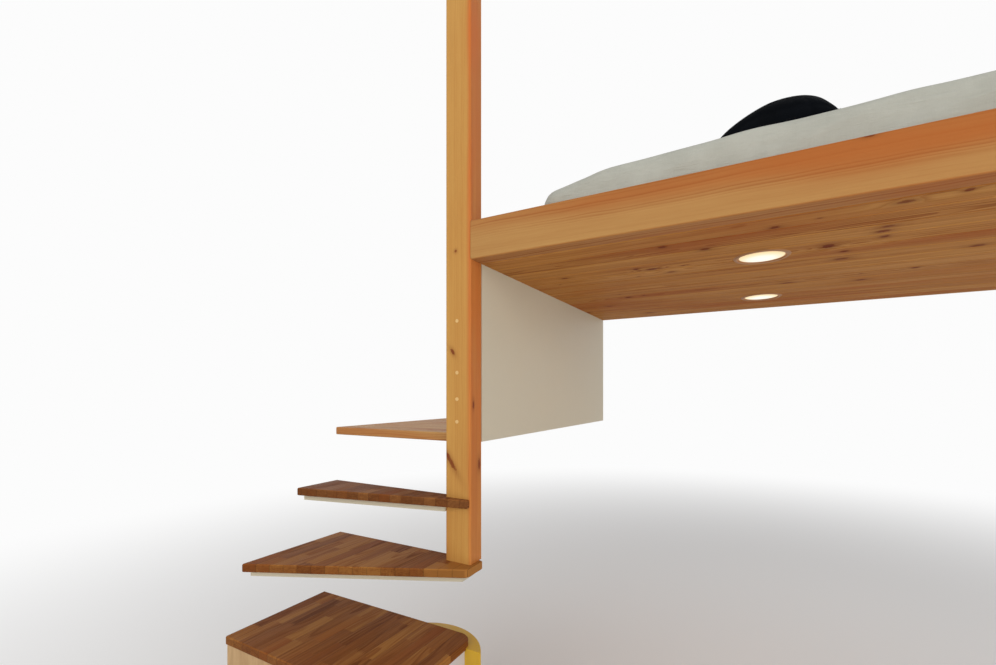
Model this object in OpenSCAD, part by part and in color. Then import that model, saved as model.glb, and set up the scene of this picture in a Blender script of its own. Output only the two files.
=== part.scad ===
// Sleeping loft with a winder stair, built in between three walls of a small house.
// Room coordinates: x from the left wall, y = 0 at the back wall and negative towards the room,
// z from the floor. The part's origin is the middle of the back ledger's wall face.

/* [Room] */
// Clear width between the left and the right wall
room_w = 2790; // [2300:10:3400]
// Height of the ceiling above the floor, where the post's head meets it
ceiling_h = 3032; // [2500:10:3700]
// Depth of the loft, from the back wall to the front face of its beam
loft_depth = 1516; // [1250:5:1850]

/* [Loft] */
// Height of the sleeping deck above the floor
deck_h = 2026; // [1680:5:2440]
// Height of the front beam
beam_h = 130; // [105:5:180]
// Thickness of the front beam, and depth of the post
beam_t = 74; // [60:1:90]
// Radius of the eased edges of beam and post
timber_ease = 7; // [3:1:12]
// Thickness of the deck boards
deck_t = 18; // [15:1:25]
// Thickness of the soffit boards
soffit_t = 12; // [10:1:15]
// Number of soffit boards between beam and back wall
soffit_boards = 15; // [10:1:20]
// Number of deck boards between beam and back wall
deck_boards = 10; // [7:1:15]
// Bevel along the show face of a soffit board, half of a V groove
soffit_bevel = 3; // [1:0.5:4]
// Bevel along the show face of a deck board
deck_bevel = 1; // [0.5:0.5:3]
// Thickness of the boards' tongues
tongue_t = 4; // [3:0.5:5]
// Length of the boards' tongues
tongue_l = 6; // [4:0.5:8]
// Thickness of ledger, rim and inner joists
joist_t = 38; // [30:1:50]

/* [Downlights] */
// Distance of the downlights to the left of the middle of their joist bay
light_left = 32; // [-35:1:35]
// Distance of the front downlight from the back wall
light_front = 1070; // [900:5:1150]
// Distance of the rear downlight from the back wall
light_rear = 338; // [250:5:450]
// Diameter of the bright lens
lens_d = 150; // [120:2:160]
// Thickness of the lens
lens_t = 4; // [2:0.5:6]
// Width of the trim ring's flange on the soffit
ring_w = 8; // [5:1:15]
// Height that the trim ring stands below the soffit
ring_proud = 4; // [2:0.5:5]
// Width of the ring's lip under the lens
ring_lip = 3; // [2:0.5:5]
// Height of the lamp housing above the lens
can_h = 60; // [50:5:70]

/* [Post] */
// Distance of the post's left face from the left wall
post_x = 574; // [480:2:690]
// Width of the post across its front face
post_w = 102; // [84:2:124]

/* [Side panel and landing] */
// Thickness of the framed panel between the stair and the space under the loft
panel_t = 66; // [48:2:80]
// Thickness of the boards on both sides of the panel's frame
panel_skin_t = 12; // [9:1:15]
// Width of the studs and rails in the panel's frame
stud_w = 45; // [30:1:60]
// Thickness of the landing
landing_t = 30; // [25:1:40]
// Distance of the landing's front edge behind the post's front face
landing_behind = 33; // [15:1:45]
// Side of the square cleats that carry the landing
cleat = 38; // [30:1:45]
// Distance that the left cleat stays back from the landing's front edge
cleat_setback = 430; // [200:10:600]
// Distance of the back cleat's right end short of the side panel
cleat_short = 180; // [60:10:300]

/* [Stair] */
// Rise from one step to the next
rise = 218; // [180:1:262]
// Thickness of the steps' laminated tops
tread_t = 28; // [22:1:36]
// Eased edge of every top
tread_ease = 3; // [1:0.5:4]
// Upper winder: front edge at the wall, ahead of the post's front face
upper_wall_ahead = 152; // [100:2:200]
// Upper winder: front edge at its tip, ahead of the post's front face
upper_tip_ahead = 15; // [12:1:40]
// Upper winder: rear edge, behind the post's front face
upper_behind = 40; // [20:1:60]
// Upper winder: distance of its tip short of the post's right face
upper_short = 5; // [2:1:20]
// Lower winder: front edge at the wall, ahead of the post's front face
lower_wall_ahead = 367; // [280:2:420]
// Lower winder: front edge at its tip, ahead of the post's front face
lower_tip_ahead = 40; // [25:1:60]
// Lower winder: rear edge, behind the post's front face
lower_behind = 58; // [40:1:66]
// Lower winder: reach past the post's right face
lower_reach = 15; // [2:1:24]
// Lower winder: radius of its tip's rear corner
lower_rear_r = 10; // [4:1:16]
// Lower winder: radius of its tip's front corner
lower_front_r = 24; // [8:1:30]
// Thickness of the painted bearer under each winder
bearer_t = 22; // [15:1:30]
// Distance that a bearer stays back from its winder's front edge
bearer_back = 30; // [10:1:50]
// Distance that a bearer stays ahead of its winder's rear edge
bearer_fore = 12; // [5:1:20]
// Lower bearer: distance of its end short of the post's right face
bearer_short = 16; // [5:1:40]

/* [Base steps] */
// Outer face of the front side, ahead of the post's front face
front_ahead = 417; // [350:2:500]
// Outer face of the top box's rear side, ahead of the post's front face
rear_ahead = 29; // [20:1:50]
// Outer face of the lower boxes' rear side, ahead of the post's front face
low_rear_ahead = 69; // [50:1:110]
// Riser face of the top box, to the right of the post's right face
base_right = 22; // [10:1:60]
// Going of the two lower steps
going = 255; // [212:1:306]
// Overhang of every top past the face below it
nosing = 5; // [3:1:12]
// Thickness of sides and risers
board_t = 18; // [15:1:22]
// Corner radius of the top step
top_corner_r = 45; // [20:5:55]
// Outer radius of the curved end wall
curve_r = 187; // [175:1:200]
// Distance that the curved wall's centre lies left of the top box's riser face
curve_left = 108; // [100:1:115]
// Distance that the curved wall's centre lies in front of the top box's rear side
curve_fore = 122; // [115:1:130]
// Depth of the curved wall's rim below the top of the step that it wraps
curve_drop = 20; // [12:1:26]
// Thickness of the bent skin
bend_t = 9; // [6:1:12]
// Radius of the bent skin's eased rim
rim_ease = 3; // [1:0.5:5]
// Thickness of the cap, the foot and the stile inside the bent skin
former_t = 18; // [12:1:24]

/* [Bedding] */
// Gap between the post and the mattress's left end
mattress_left_gap = 214; // [100:2:400]
// Gap between the mattress and the right wall
mattress_right_gap = 10; // [5:1:60]
// Gap between the mattress and the back wall
mattress_back_gap = 80; // [10:1:200]
// Thickness of the mattress
mattress_t = 135; // [100:5:180]
// Corner radius of the mattress
mattress_r = 90; // [50:5:150]
// Width of the pillow
pillow_w = 460; // [400:10:600]
// Depth of the pillow
pillow_d = 350; // [300:10:450]
// Thickness of the pillow
pillow_t = 130; // [100:5:180]
// Corner radius of the pillow
pillow_r = 60; // [30:5:100]
// Distance of the pillow from the mattress's left end
pillow_in = 460; // [200:10:900]
// Distance of the pillow from the mattress's front edge
pillow_back = 15; // [10:5:700]

/* [Hidden] */

// Smoothness of round work
$fn = 64;
// Points of a quarter circle in a board's outline
corner_steps = 8;
// Clearance under a soft piece, beside a lens, between matched boards and inside the bent skin
soft_gap = 0.3;
lens_gap = 0.5;
board_gap = 0.3;
bend_gap = 0.3;
// Overshoot of a cut
cut = 10;

// Numbers of the steps, counted from the floor
top_box = 3;
lower_number = 4;
upper_number = 5;
landing_number = 6;

// The joists divide the loft into this many bays, and the downlights are in one of them
joist_bays = 6;
light_bay = 3;

// Levels above the floor
beam_low = deck_h - beam_h;
joist_low = beam_low + soffit_t;
joist_high = deck_h - deck_t;
landing_low = landing_number * rise - landing_t;
box_high = top_box * rise - tread_t;
rim_high = top_box * rise - curve_drop;

// Distances from the left wall
post_right = post_x + post_w;
panel_x = post_right - panel_t;
loft_w = room_w - post_right;
joist_pitch = loft_w / joist_bays;
light_x = post_right + (light_bay - 0.5) * joist_pitch - light_left;
base_x = post_right + base_right;
mattress_x = post_right + mattress_left_gap;

// Distances from the back wall
post_rear = loft_depth - beam_t;
landing_front = loft_depth - landing_behind;
base_front = loft_depth + front_ahead;
base_rear = loft_depth + rear_ahead;
low_rear = loft_depth + low_rear_ahead;

// Slope of the lower winder's front edge, in plan
lower_slope = (lower_wall_ahead - lower_tip_ahead) / (post_right + lower_reach);

// Middle of the curved end's arc, in plan
curve_centre = at(base_x - curve_left, base_rear + curve_fore);

// The part's origin in room coordinates
origin_x = post_right + loft_w / 2;
origin_z = (joist_low + joist_high) / 2;

FIR = [0.80, 0.52, 0.27];
PINE = [0.86, 0.62, 0.36];
BUTCHER = [0.62, 0.36, 0.18];
BIRCH = [0.85, 0.72, 0.52];
FRAMING = [0.84, 0.68, 0.46];
WHITE = [0.93, 0.92, 0.89];
YELLOW = [0.95, 0.76, 0.12];
LINEN = [0.90, 0.90, 0.88];
NAVY = [0.08, 0.09, 0.12];
GLOW = [1.00, 0.90, 0.70];
ZINC = [0.70, 0.72, 0.74];

// Moves a piece from room coordinates into the part's own frame
module in_frame() {
    translate([-origin_x, 0, -origin_z]) children();
}

// Block given by its ranges from the left wall, from the back wall and above the floor
module block(x, d, z) {
    translate([x[0], -d[1], z[0]]) cube([x[1] - x[0], d[1] - d[0], z[1] - z[0]]);
}

// Rectangle with rounded corners, lowest corner at the origin
module eased_rect(w, h, r) {
    translate([r, 0]) square([w - 2 * r, h]);
    translate([0, r]) square([w, h - 2 * r]);
    for (x = [r, w - r], y = [r, h - r])
        translate([x, y]) circle(r);
}

// Board of a plan outline whose edges are eased above and below
module eased_board(outline, low, t) {
    translate([0, 0, low]) hull() {
        translate([0, 0, tread_ease]) linear_extrude(t - 2 * tread_ease) polygon(outline);
        linear_extrude(t) offset(delta = -tread_ease) polygon(outline);
    }
}

// Plan point given by its distances from the left wall and from the back wall
function at(x, d) = [x, -d];

// Points of an arc round a centre, in plan
function arc(centre, r, from, to) =
    [for (i = [0:corner_steps]) let (a = from + (to - from) * i / corner_steps)
        centre + r * [cos(a), sin(a)]];

// Front edge of each winder: its distance from the back wall, where it is x from the left wall
function upper_front(x) = loft_depth + upper_wall_ahead
    - (upper_wall_ahead - upper_tip_ahead) * x / (post_right - upper_short);
function lower_front(x) = loft_depth + lower_wall_ahead - lower_slope * x;

module post() {
    low = lower_number * rise;
    color(FIR) in_frame()
    translate([post_x, -loft_depth, low])
    linear_extrude(ceiling_h - low) eased_rect(post_w, beam_t, timber_ease);
}

module front_beam() {
    color(FIR) in_frame()
    translate([post_right, -loft_depth, beam_low])
    rotate([90, 0, 90]) linear_extrude(loft_w) eased_rect(beam_t, beam_h, timber_ease);
}

module back_ledger() {
    color(FRAMING) in_frame()
    block([post_right, room_w], [0, joist_t], [joist_low, joist_high]);
}

module left_rim_joist() {
    color(FRAMING) in_frame()
    block([panel_x, post_right], [0, post_rear], [beam_low, joist_high]);
}

module right_rim_joist() {
    color(FRAMING) in_frame()
    block([room_w - joist_t, room_w], [joist_t, post_rear], [joist_low, joist_high]);
}

module joist(number) {
    middle = post_right + number * joist_pitch;
    color(FRAMING) in_frame()
    block([middle - joist_t / 2, middle + joist_t / 2], [joist_t, post_rear],
        [joist_low, joist_high]);
}

// Section of a matched board: across its width from the edge nearer the back wall, and in from
// its bevelled show face. Its tongue points to the beam, its groove takes the tongue behind it.
function matched_section(w, t, bevel, tongue, groove) =
    let (low = (t + bevel - tongue_t) / 2, high = low + tongue_t)
    concat([[bevel, 0], [w - bevel, 0], [w, bevel]],
        tongue ? [[w, low], [w + tongue_l, low], [w + tongue_l, high], [w, high]] : [],
        [[w, t], [0, t]],
        groove ? [[0, high + board_gap], [tongue_l, high + board_gap],
            [tongue_l, low - board_gap], [0, low - board_gap]] : [],
        [[0, bevel]]);

// Matched boards from the back wall to the beam, with their show faces at a level and their
// backs above it (1) or below it (-1)
module matched_boards(from_x, count, t, bevel, level, back) {
    pitch = post_rear / count;
    for (i = [0:count - 1])
        translate([from_x, -i * pitch, level]) rotate([90, 0, 90]) linear_extrude(room_w - from_x)
        polygon([for (p = matched_section(pitch - board_gap, t, bevel, i < count - 1, i > 0))
            [-p[0], back * p[1]]]);
}

module soffit() {
    color(PINE) in_frame()
    difference() {
        matched_boards(post_right, soffit_boards, soffit_t, soffit_bevel, beam_low, 1);
        for (d = [light_front, light_rear])
            translate([light_x, -d, beam_low - cut])
            cylinder(d = lens_d + 2 * lens_gap, h = soffit_t + 2 * cut);
    }
}

module deck() {
    color(PINE) in_frame()
    matched_boards(panel_x, deck_boards, deck_t, deck_bevel, deck_h, -1);
}

// Trim ring: a sloped flange on the soffit with a lip that carries the lens
module light_ring(d) {
    color(WHITE) in_frame()
    translate([light_x, -d, beam_low - ring_proud]) rotate_extrude()
    polygon([[lens_d / 2 - ring_lip, 0], [lens_d / 2 + ring_w - ring_proud, 0],
        [lens_d / 2 + ring_w, ring_proud], [lens_d / 2 - ring_lip, ring_proud]]);
}

module light_lens(d) {
    color(GLOW) in_frame()
    translate([light_x, -d, beam_low]) cylinder(d = lens_d, h = lens_t);
}

module light_can(d) {
    color(ZINC) in_frame()
    translate([light_x, -d, beam_low + lens_t]) cylinder(d = lens_d, h = can_h);
}

// Board of the panel on the side of the space under the loft
module side_panel() {
    color(WHITE) in_frame()
    block([post_right - panel_skin_t, post_right], [0, post_rear], [landing_low, beam_low]);
}

module panel_stair_skin() {
    color(WHITE) in_frame()
    block([panel_x, panel_x + panel_skin_t], [0, post_rear], [landing_low, beam_low]);
}

// Rails and studs between the panel's two boards
module panel_frame() {
    x = [panel_x + panel_skin_t, post_right - panel_skin_t];
    color(WHITE) in_frame() {
        for (z = [landing_low, beam_low - stud_w])
            block(x, [0, post_rear], [z, z + stud_w]);
        for (d = [0, (post_rear - stud_w) / 2, post_rear - stud_w])
            block(x, [d, d + stud_w], [landing_low, beam_low]);
    }
}

// Landing slab, notched round the post and fitted between wall and side panel
module landing() {
    color(FIR) in_frame()
    difference() {
        eased_board([at(-cut, -cut), at(panel_x + cut, -cut), at(panel_x + cut, landing_front),
            at(-cut, landing_front)], landing_low, landing_t);
        block([-2 * cut, 0], [-2 * cut, loft_depth], [0, ceiling_h]);
        block([-2 * cut, room_w], [-2 * cut, 0], [0, ceiling_h]);
        block([panel_x, room_w], [-cut, loft_depth], [0, ceiling_h]);
        block([post_x, room_w], [post_rear, loft_depth], [0, ceiling_h]);
    }
}

module landing_back_cleat() {
    color(FRAMING) in_frame()
    block([0, panel_x - cleat_short], [0, cleat], [landing_low - cleat, landing_low]);
}

module landing_left_cleat() {
    color(FRAMING) in_frame()
    block([0, cleat], [cleat, landing_front - cleat_setback],
        [landing_low - cleat, landing_low]);
}

// Wedge-shaped step whose tongue passes in front of the post
module upper_winder() {
    tip = post_right - upper_short;
    rear_d = loft_depth - upper_behind;
    color(BUTCHER) in_frame()
    difference() {
        eased_board([at(-cut, rear_d), at(tip, rear_d), at(tip, upper_front(tip)),
            at(-cut, upper_front(-cut))], upper_number * rise - tread_t, tread_t);
        block([-2 * cut, 0], [0, 2 * loft_depth], [0, ceiling_h]);
        block([post_x, room_w], [0, loft_depth], [0, ceiling_h]);
    }
}

// Wedge-shaped step that the post stands on, round at its tip
module lower_winder() {
    tip = post_right + lower_reach;
    rear_d = loft_depth - lower_behind;
    rear_centre = at(tip - lower_rear_r, rear_d + lower_rear_r);
    front_centre = at(tip - lower_front_r,
        lower_front(tip - lower_front_r) - lower_front_r * sqrt(1 + pow(lower_slope, 2)));
    color(BUTCHER) in_frame()
    difference() {
        eased_board(concat([at(-cut, rear_d)], arc(rear_centre, lower_rear_r, 90, 0),
            arc(front_centre, lower_front_r, 0, -atan(1 / lower_slope)),
            [at(-cut, lower_front(-cut))]), lower_number * rise - tread_t, tread_t);
        block([-2 * cut, 0], [0, 2 * loft_depth], [0, ceiling_h]);
    }
}

// Painted board under a winder, from the wall to its right end, set back from the winder's edges
module bearer(number, right, rear_d, wall_front, right_front) {
    color(WHITE) in_frame()
    translate([0, 0, number * rise - tread_t - bearer_t]) linear_extrude(bearer_t)
    polygon([at(0, rear_d + bearer_fore), at(right, rear_d + bearer_fore),
        at(right, right_front - bearer_back), at(0, wall_front - bearer_back)]);
}

module upper_bearer() {
    bearer(upper_number, post_x, loft_depth - upper_behind, upper_front(0), upper_front(post_x));
}

module lower_bearer() {
    right = post_right - bearer_short;
    bearer(lower_number, right, loft_depth - lower_behind, lower_front(0), lower_front(right));
}

// Right face of a base step's box, from the left wall
function box_right(number) = base_x + (top_box - number) * going;

// Plan outline of a base step's top, drawn past its square left end by the overshoot
function top_outline(number) =
    let (right = box_right(number) + nosing, front = base_front + nosing,
        left = number == top_box ? 0 : box_right(number + 1),
        rear = number == top_box ? base_rear - nosing : low_rear,
        r = number == top_box ? top_corner_r : tread_ease)
    concat([at(left - cut, rear)], arc(at(right - r, rear + r), r, 90, 0),
        [at(right, front), at(left - cut, front)]);

module step_top(number) {
    left = number == top_box ? 0 : box_right(number + 1);
    color(BUTCHER) in_frame()
    difference() {
        eased_board(top_outline(number), number * rise - tread_t, tread_t);
        block([left - 2 * cut, left], [0, 2 * base_front], [0, ceiling_h]);
    }
}

// White board from the underside of the top below it to the underside of its own top
module riser(number) {
    rear = number == top_box ? base_rear : low_rear;
    color(WHITE) in_frame()
    block([box_right(number) - board_t, box_right(number)],
        [rear + board_t, base_front - board_t],
        [max(0, (number - 1) * rise - tread_t), number * rise - tread_t]);
}

// Stepped outline of a side, from its left end down to the floor at the lowest riser
function side_outline(left, first) = concat([[left, 0]],
    [for (n = [first:-1:1], x = [n == first ? left : box_right(n + 1), box_right(n)])
        [x, n * rise - tread_t]],
    [[box_right(1), 0]]);

module front_side() {
    color(BIRCH) in_frame()
    translate([0, -base_front + board_t, 0])
    rotate([90, 0, 0]) linear_extrude(board_t) polygon(side_outline(0, top_box));
}

module low_rear_side() {
    color(BIRCH) in_frame()
    translate([0, -low_rear, 0])
    rotate([90, 0, 0]) linear_extrude(board_t) polygon(side_outline(base_x, top_box - 1));
}

module base_rear_side() {
    color(BIRCH) in_frame()
    block([0, base_x], [base_rear, base_rear + board_t], [0, box_high]);
}

module base_wall_side() {
    color(BIRCH) in_frame()
    block([0, board_t], [base_rear + board_t, base_front - board_t], [0, box_high]);
}

// Crescent round the top box's rear right corner between two levels, cut back round the step
module crescent(low, high, r) {
    difference() {
        translate([0, 0, low]) linear_extrude(high - low) difference() {
            translate(curve_centre) circle(r);
            translate(at(0, 2 * base_front)) square([room_w, 2 * base_front - low_rear]);
        }
        block([0, base_x], [base_rear, 2 * base_front], [low - cut, box_high]);
        translate([0, 0, box_high]) linear_extrude(tread_t) polygon(top_outline(top_box));
    }
}

// Section of the bent skin, out from the middle of its arc, with an eased rim
function skin_section() = concat(
    [[curve_r - bend_t, rim_high], [curve_r - bend_t, 0], [curve_r, 0]],
    arc([curve_r - rim_ease, rim_high - rim_ease], rim_ease, 0, 90));

// Bent skin from the floor to the rim
module curved_end() {
    color(YELLOW) in_frame()
    intersection() {
        crescent(-cut, rim_high + cut, curve_r + cut);
        translate(curve_centre) rotate_extrude() polygon(skin_section());
    }
}

// Board inside the bent skin, flush with its rim
module curved_cap() {
    color(YELLOW) in_frame()
    crescent(rim_high - former_t, rim_high, curve_r - bend_t - bend_gap);
}

module curved_foot() {
    color(YELLOW) in_frame() crescent(0, former_t, curve_r - bend_t - bend_gap);
}

// Upright that closes the bent skin's front end, between foot and cap
module curved_stile() {
    color(YELLOW) in_frame()
    intersection() {
        crescent(former_t, rim_high - former_t, curve_r - bend_t - bend_gap);
        block([base_x, room_w], [low_rear - former_t, low_rear], [0, rim_high]);
    }
}

module mattress() {
    color(LINEN) in_frame()
    translate([mattress_x, -post_rear + soft_gap, deck_h + soft_gap])
    linear_extrude(mattress_t)
    eased_rect(room_w - mattress_right_gap - mattress_x, post_rear - mattress_back_gap,
        mattress_r);
}

module pillow() {
    color(NAVY) in_frame()
    translate([mattress_x + pillow_in, -post_rear + pillow_back,
        deck_h + mattress_t + 2 * soft_gap])
    linear_extrude(pillow_t) eased_rect(pillow_w, pillow_d, pillow_r);
}

post();
front_beam();
back_ledger();
left_rim_joist();
right_rim_joist();
joist(1);  // joist_1
joist(2);  // joist_2
joist(3);  // joist_3
joist(4);  // joist_4
joist(5);  // joist_5
soffit();
deck();
light_ring(light_front);  // front_light_ring
light_ring(light_rear);  // rear_light_ring
light_lens(light_front);  // front_light_lens
light_lens(light_rear);  // rear_light_lens
light_can(light_front);  // front_light_can
light_can(light_rear);  // rear_light_can
side_panel();
panel_stair_skin();
panel_frame();
landing();
landing_back_cleat();
landing_left_cleat();
upper_winder();
lower_winder();
upper_bearer();
lower_bearer();
step_top(1);  // step_1_top
step_top(2);  // step_2_top
step_top(3);  // step_3_top
riser(1);  // riser_1
riser(2);  // riser_2
riser(3);  // riser_3
front_side();
low_rear_side();
base_rear_side();
base_wall_side();
curved_end();
curved_cap();
curved_foot();
curved_stile();
mattress();
pillow();
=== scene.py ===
"""Looks of a sleeping loft with a winder stair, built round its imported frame.

Lengths are metres in the part's own frame: X to the right, Y to the back, Z up. Grain, boards, staves and
knots are drawn in three dimensions from Object coordinates, so each pattern runs round a piece's corners.
"""
import logging
import math
from dataclasses import dataclass, replace
from enum import Enum

import bmesh
import bpy
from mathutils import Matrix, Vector, noise


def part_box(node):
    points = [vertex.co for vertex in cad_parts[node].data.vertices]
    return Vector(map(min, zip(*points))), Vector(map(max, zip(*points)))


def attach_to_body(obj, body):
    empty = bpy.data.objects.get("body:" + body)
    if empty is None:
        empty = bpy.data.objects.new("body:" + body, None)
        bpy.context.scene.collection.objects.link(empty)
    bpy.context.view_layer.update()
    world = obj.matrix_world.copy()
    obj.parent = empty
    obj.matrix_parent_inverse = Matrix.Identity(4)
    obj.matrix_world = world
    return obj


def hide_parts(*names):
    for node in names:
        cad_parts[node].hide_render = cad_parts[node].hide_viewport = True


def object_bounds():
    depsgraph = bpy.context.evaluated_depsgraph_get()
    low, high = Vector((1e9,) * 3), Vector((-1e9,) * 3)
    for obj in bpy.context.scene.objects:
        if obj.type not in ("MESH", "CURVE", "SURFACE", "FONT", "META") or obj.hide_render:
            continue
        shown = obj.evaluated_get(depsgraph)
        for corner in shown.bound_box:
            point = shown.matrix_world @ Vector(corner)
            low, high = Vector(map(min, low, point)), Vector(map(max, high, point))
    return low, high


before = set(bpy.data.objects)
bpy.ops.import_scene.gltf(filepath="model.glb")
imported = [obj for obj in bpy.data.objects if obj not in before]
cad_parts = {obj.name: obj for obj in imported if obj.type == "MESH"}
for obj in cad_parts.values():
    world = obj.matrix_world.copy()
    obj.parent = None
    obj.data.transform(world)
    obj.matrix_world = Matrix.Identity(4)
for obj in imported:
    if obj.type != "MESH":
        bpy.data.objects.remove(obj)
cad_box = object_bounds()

log = logging.getLogger("loft")
Colour = tuple[float, float, float]
Place = tuple[float, float, float]
BODY = "root"
BACKDROP = (252, 252, 252)
COAT_ROUGHNESS = 0.35
# A knot's core, as shares of the darkest tone's red, green and blue.
KNOT_CORE = (0.86, 0.58, 0.5)
# Random knots: board length for each, share of the timber's own share, least and greatest size.
RANDOM_KNOTS = ((0.3, 1.0, 0.0055, 0.011), (0.17, 0.6, 0.002, 0.004))


def linear(colour: Colour) -> tuple[float, float, float, float]:
    """Turns a screen colour into the linear colour that a shader takes.

    Args:
        colour: Red, green and blue from 0 to 255.

    Returns:
        Linear red, green and blue from 0 to 1, and a full alpha.
    """
    parts = [c / 255 for c in colour]
    red, green, blue = (c / 12.92 if c <= 0.04045 else ((c + 0.055) / 1.055) ** 2.4 for c in parts)
    return (red, green, blue, 1.0)


class Signal:
    """One output in a node tree. Python's arithmetic on it adds Math nodes to the tree."""

    def __init__(self, tree: "Tree", socket: bpy.types.NodeSocket) -> None:
        """Keeps the tree and the output that this signal stands for."""
        self.tree, self.socket = tree, socket

    def __add__(self, other: "Value") -> "Signal":
        """This number plus another."""
        return self.tree.calc("ADD", self, other)

    def __sub__(self, other: "Value") -> "Signal":
        """This number less another."""
        return self.tree.calc("SUBTRACT", self, other)

    def __rsub__(self, other: "Value") -> "Signal":
        """Another number less this one."""
        return self.tree.calc("SUBTRACT", other, self)

    def __mul__(self, other: "Value") -> "Signal":
        """This number times another."""
        return self.tree.calc("MULTIPLY", self, other)

    def __truediv__(self, other: "Value") -> "Signal":
        """This number divided by another."""
        return self.tree.calc("DIVIDE", self, other)

    __radd__, __rmul__ = __add__, __mul__


Value = Signal | float | Colour


class Tree:
    """A node tree, with short calls for the nodes that shaders and shapes share."""

    def __init__(self, tree: bpy.types.NodeTree) -> None:
        """Empties the tree."""
        self.tree = tree
        tree.nodes.clear()

    def add(self, kind: str, inputs: dict | None = None, **settings: object) -> bpy.types.Node:
        """Adds one node.

        Args:
            kind: Type name of the node.
            inputs: Values or signals for its inputs, by name or number.
            **settings: The node's own options.

        Returns:
            The new node.
        """
        node = self.tree.nodes.new(kind)
        for key, value in settings.items():
            setattr(node, key, value)
        for key, value in (inputs or {}).items():
            self.feed(node.inputs[key], value)
        return node

    def feed(self, socket: bpy.types.NodeSocket, value: Value) -> None:
        """Links a signal to an input, or sets the input's own value.

        Args:
            socket: The input.
            value: The signal or value.
        """
        if isinstance(value, Signal):
            self.tree.links.new(value.socket, socket)
        else:
            socket.default_value = value

    def out(self, node: bpy.types.Node, output: str | int = 0) -> Signal:
        """The signal of one of a node's outputs."""
        return Signal(self, node.outputs[output])

    def calc(self, operation: str, *values: Value) -> Signal:
        """The result of a Math node."""
        return self.out(self.add("ShaderNodeMath", dict(enumerate(values)), operation=operation))

    def vector(self, operation: str, *values: Value) -> Signal:
        """The vector result of a Vector Math node."""
        return self.out(self.add("ShaderNodeVectorMath", dict(enumerate(values)), operation=operation))

    def join(self, x: Value, y: Value, z: Value) -> Signal:
        """A vector made of three numbers."""
        return self.out(self.add("ShaderNodeCombineXYZ", {0: x, 1: y, 2: z}))

    def split(self, vector: Signal) -> list[Signal]:
        """A vector's three numbers."""
        node = self.add("ShaderNodeSeparateXYZ", {0: vector})
        return [self.out(node, i) for i in range(3)]

    def reach(self, x: Signal, y: Signal) -> Signal:
        """Distance of a point from the middle, from its two parts."""
        return self.calc("SQRT", x * x + y * y)


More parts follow.
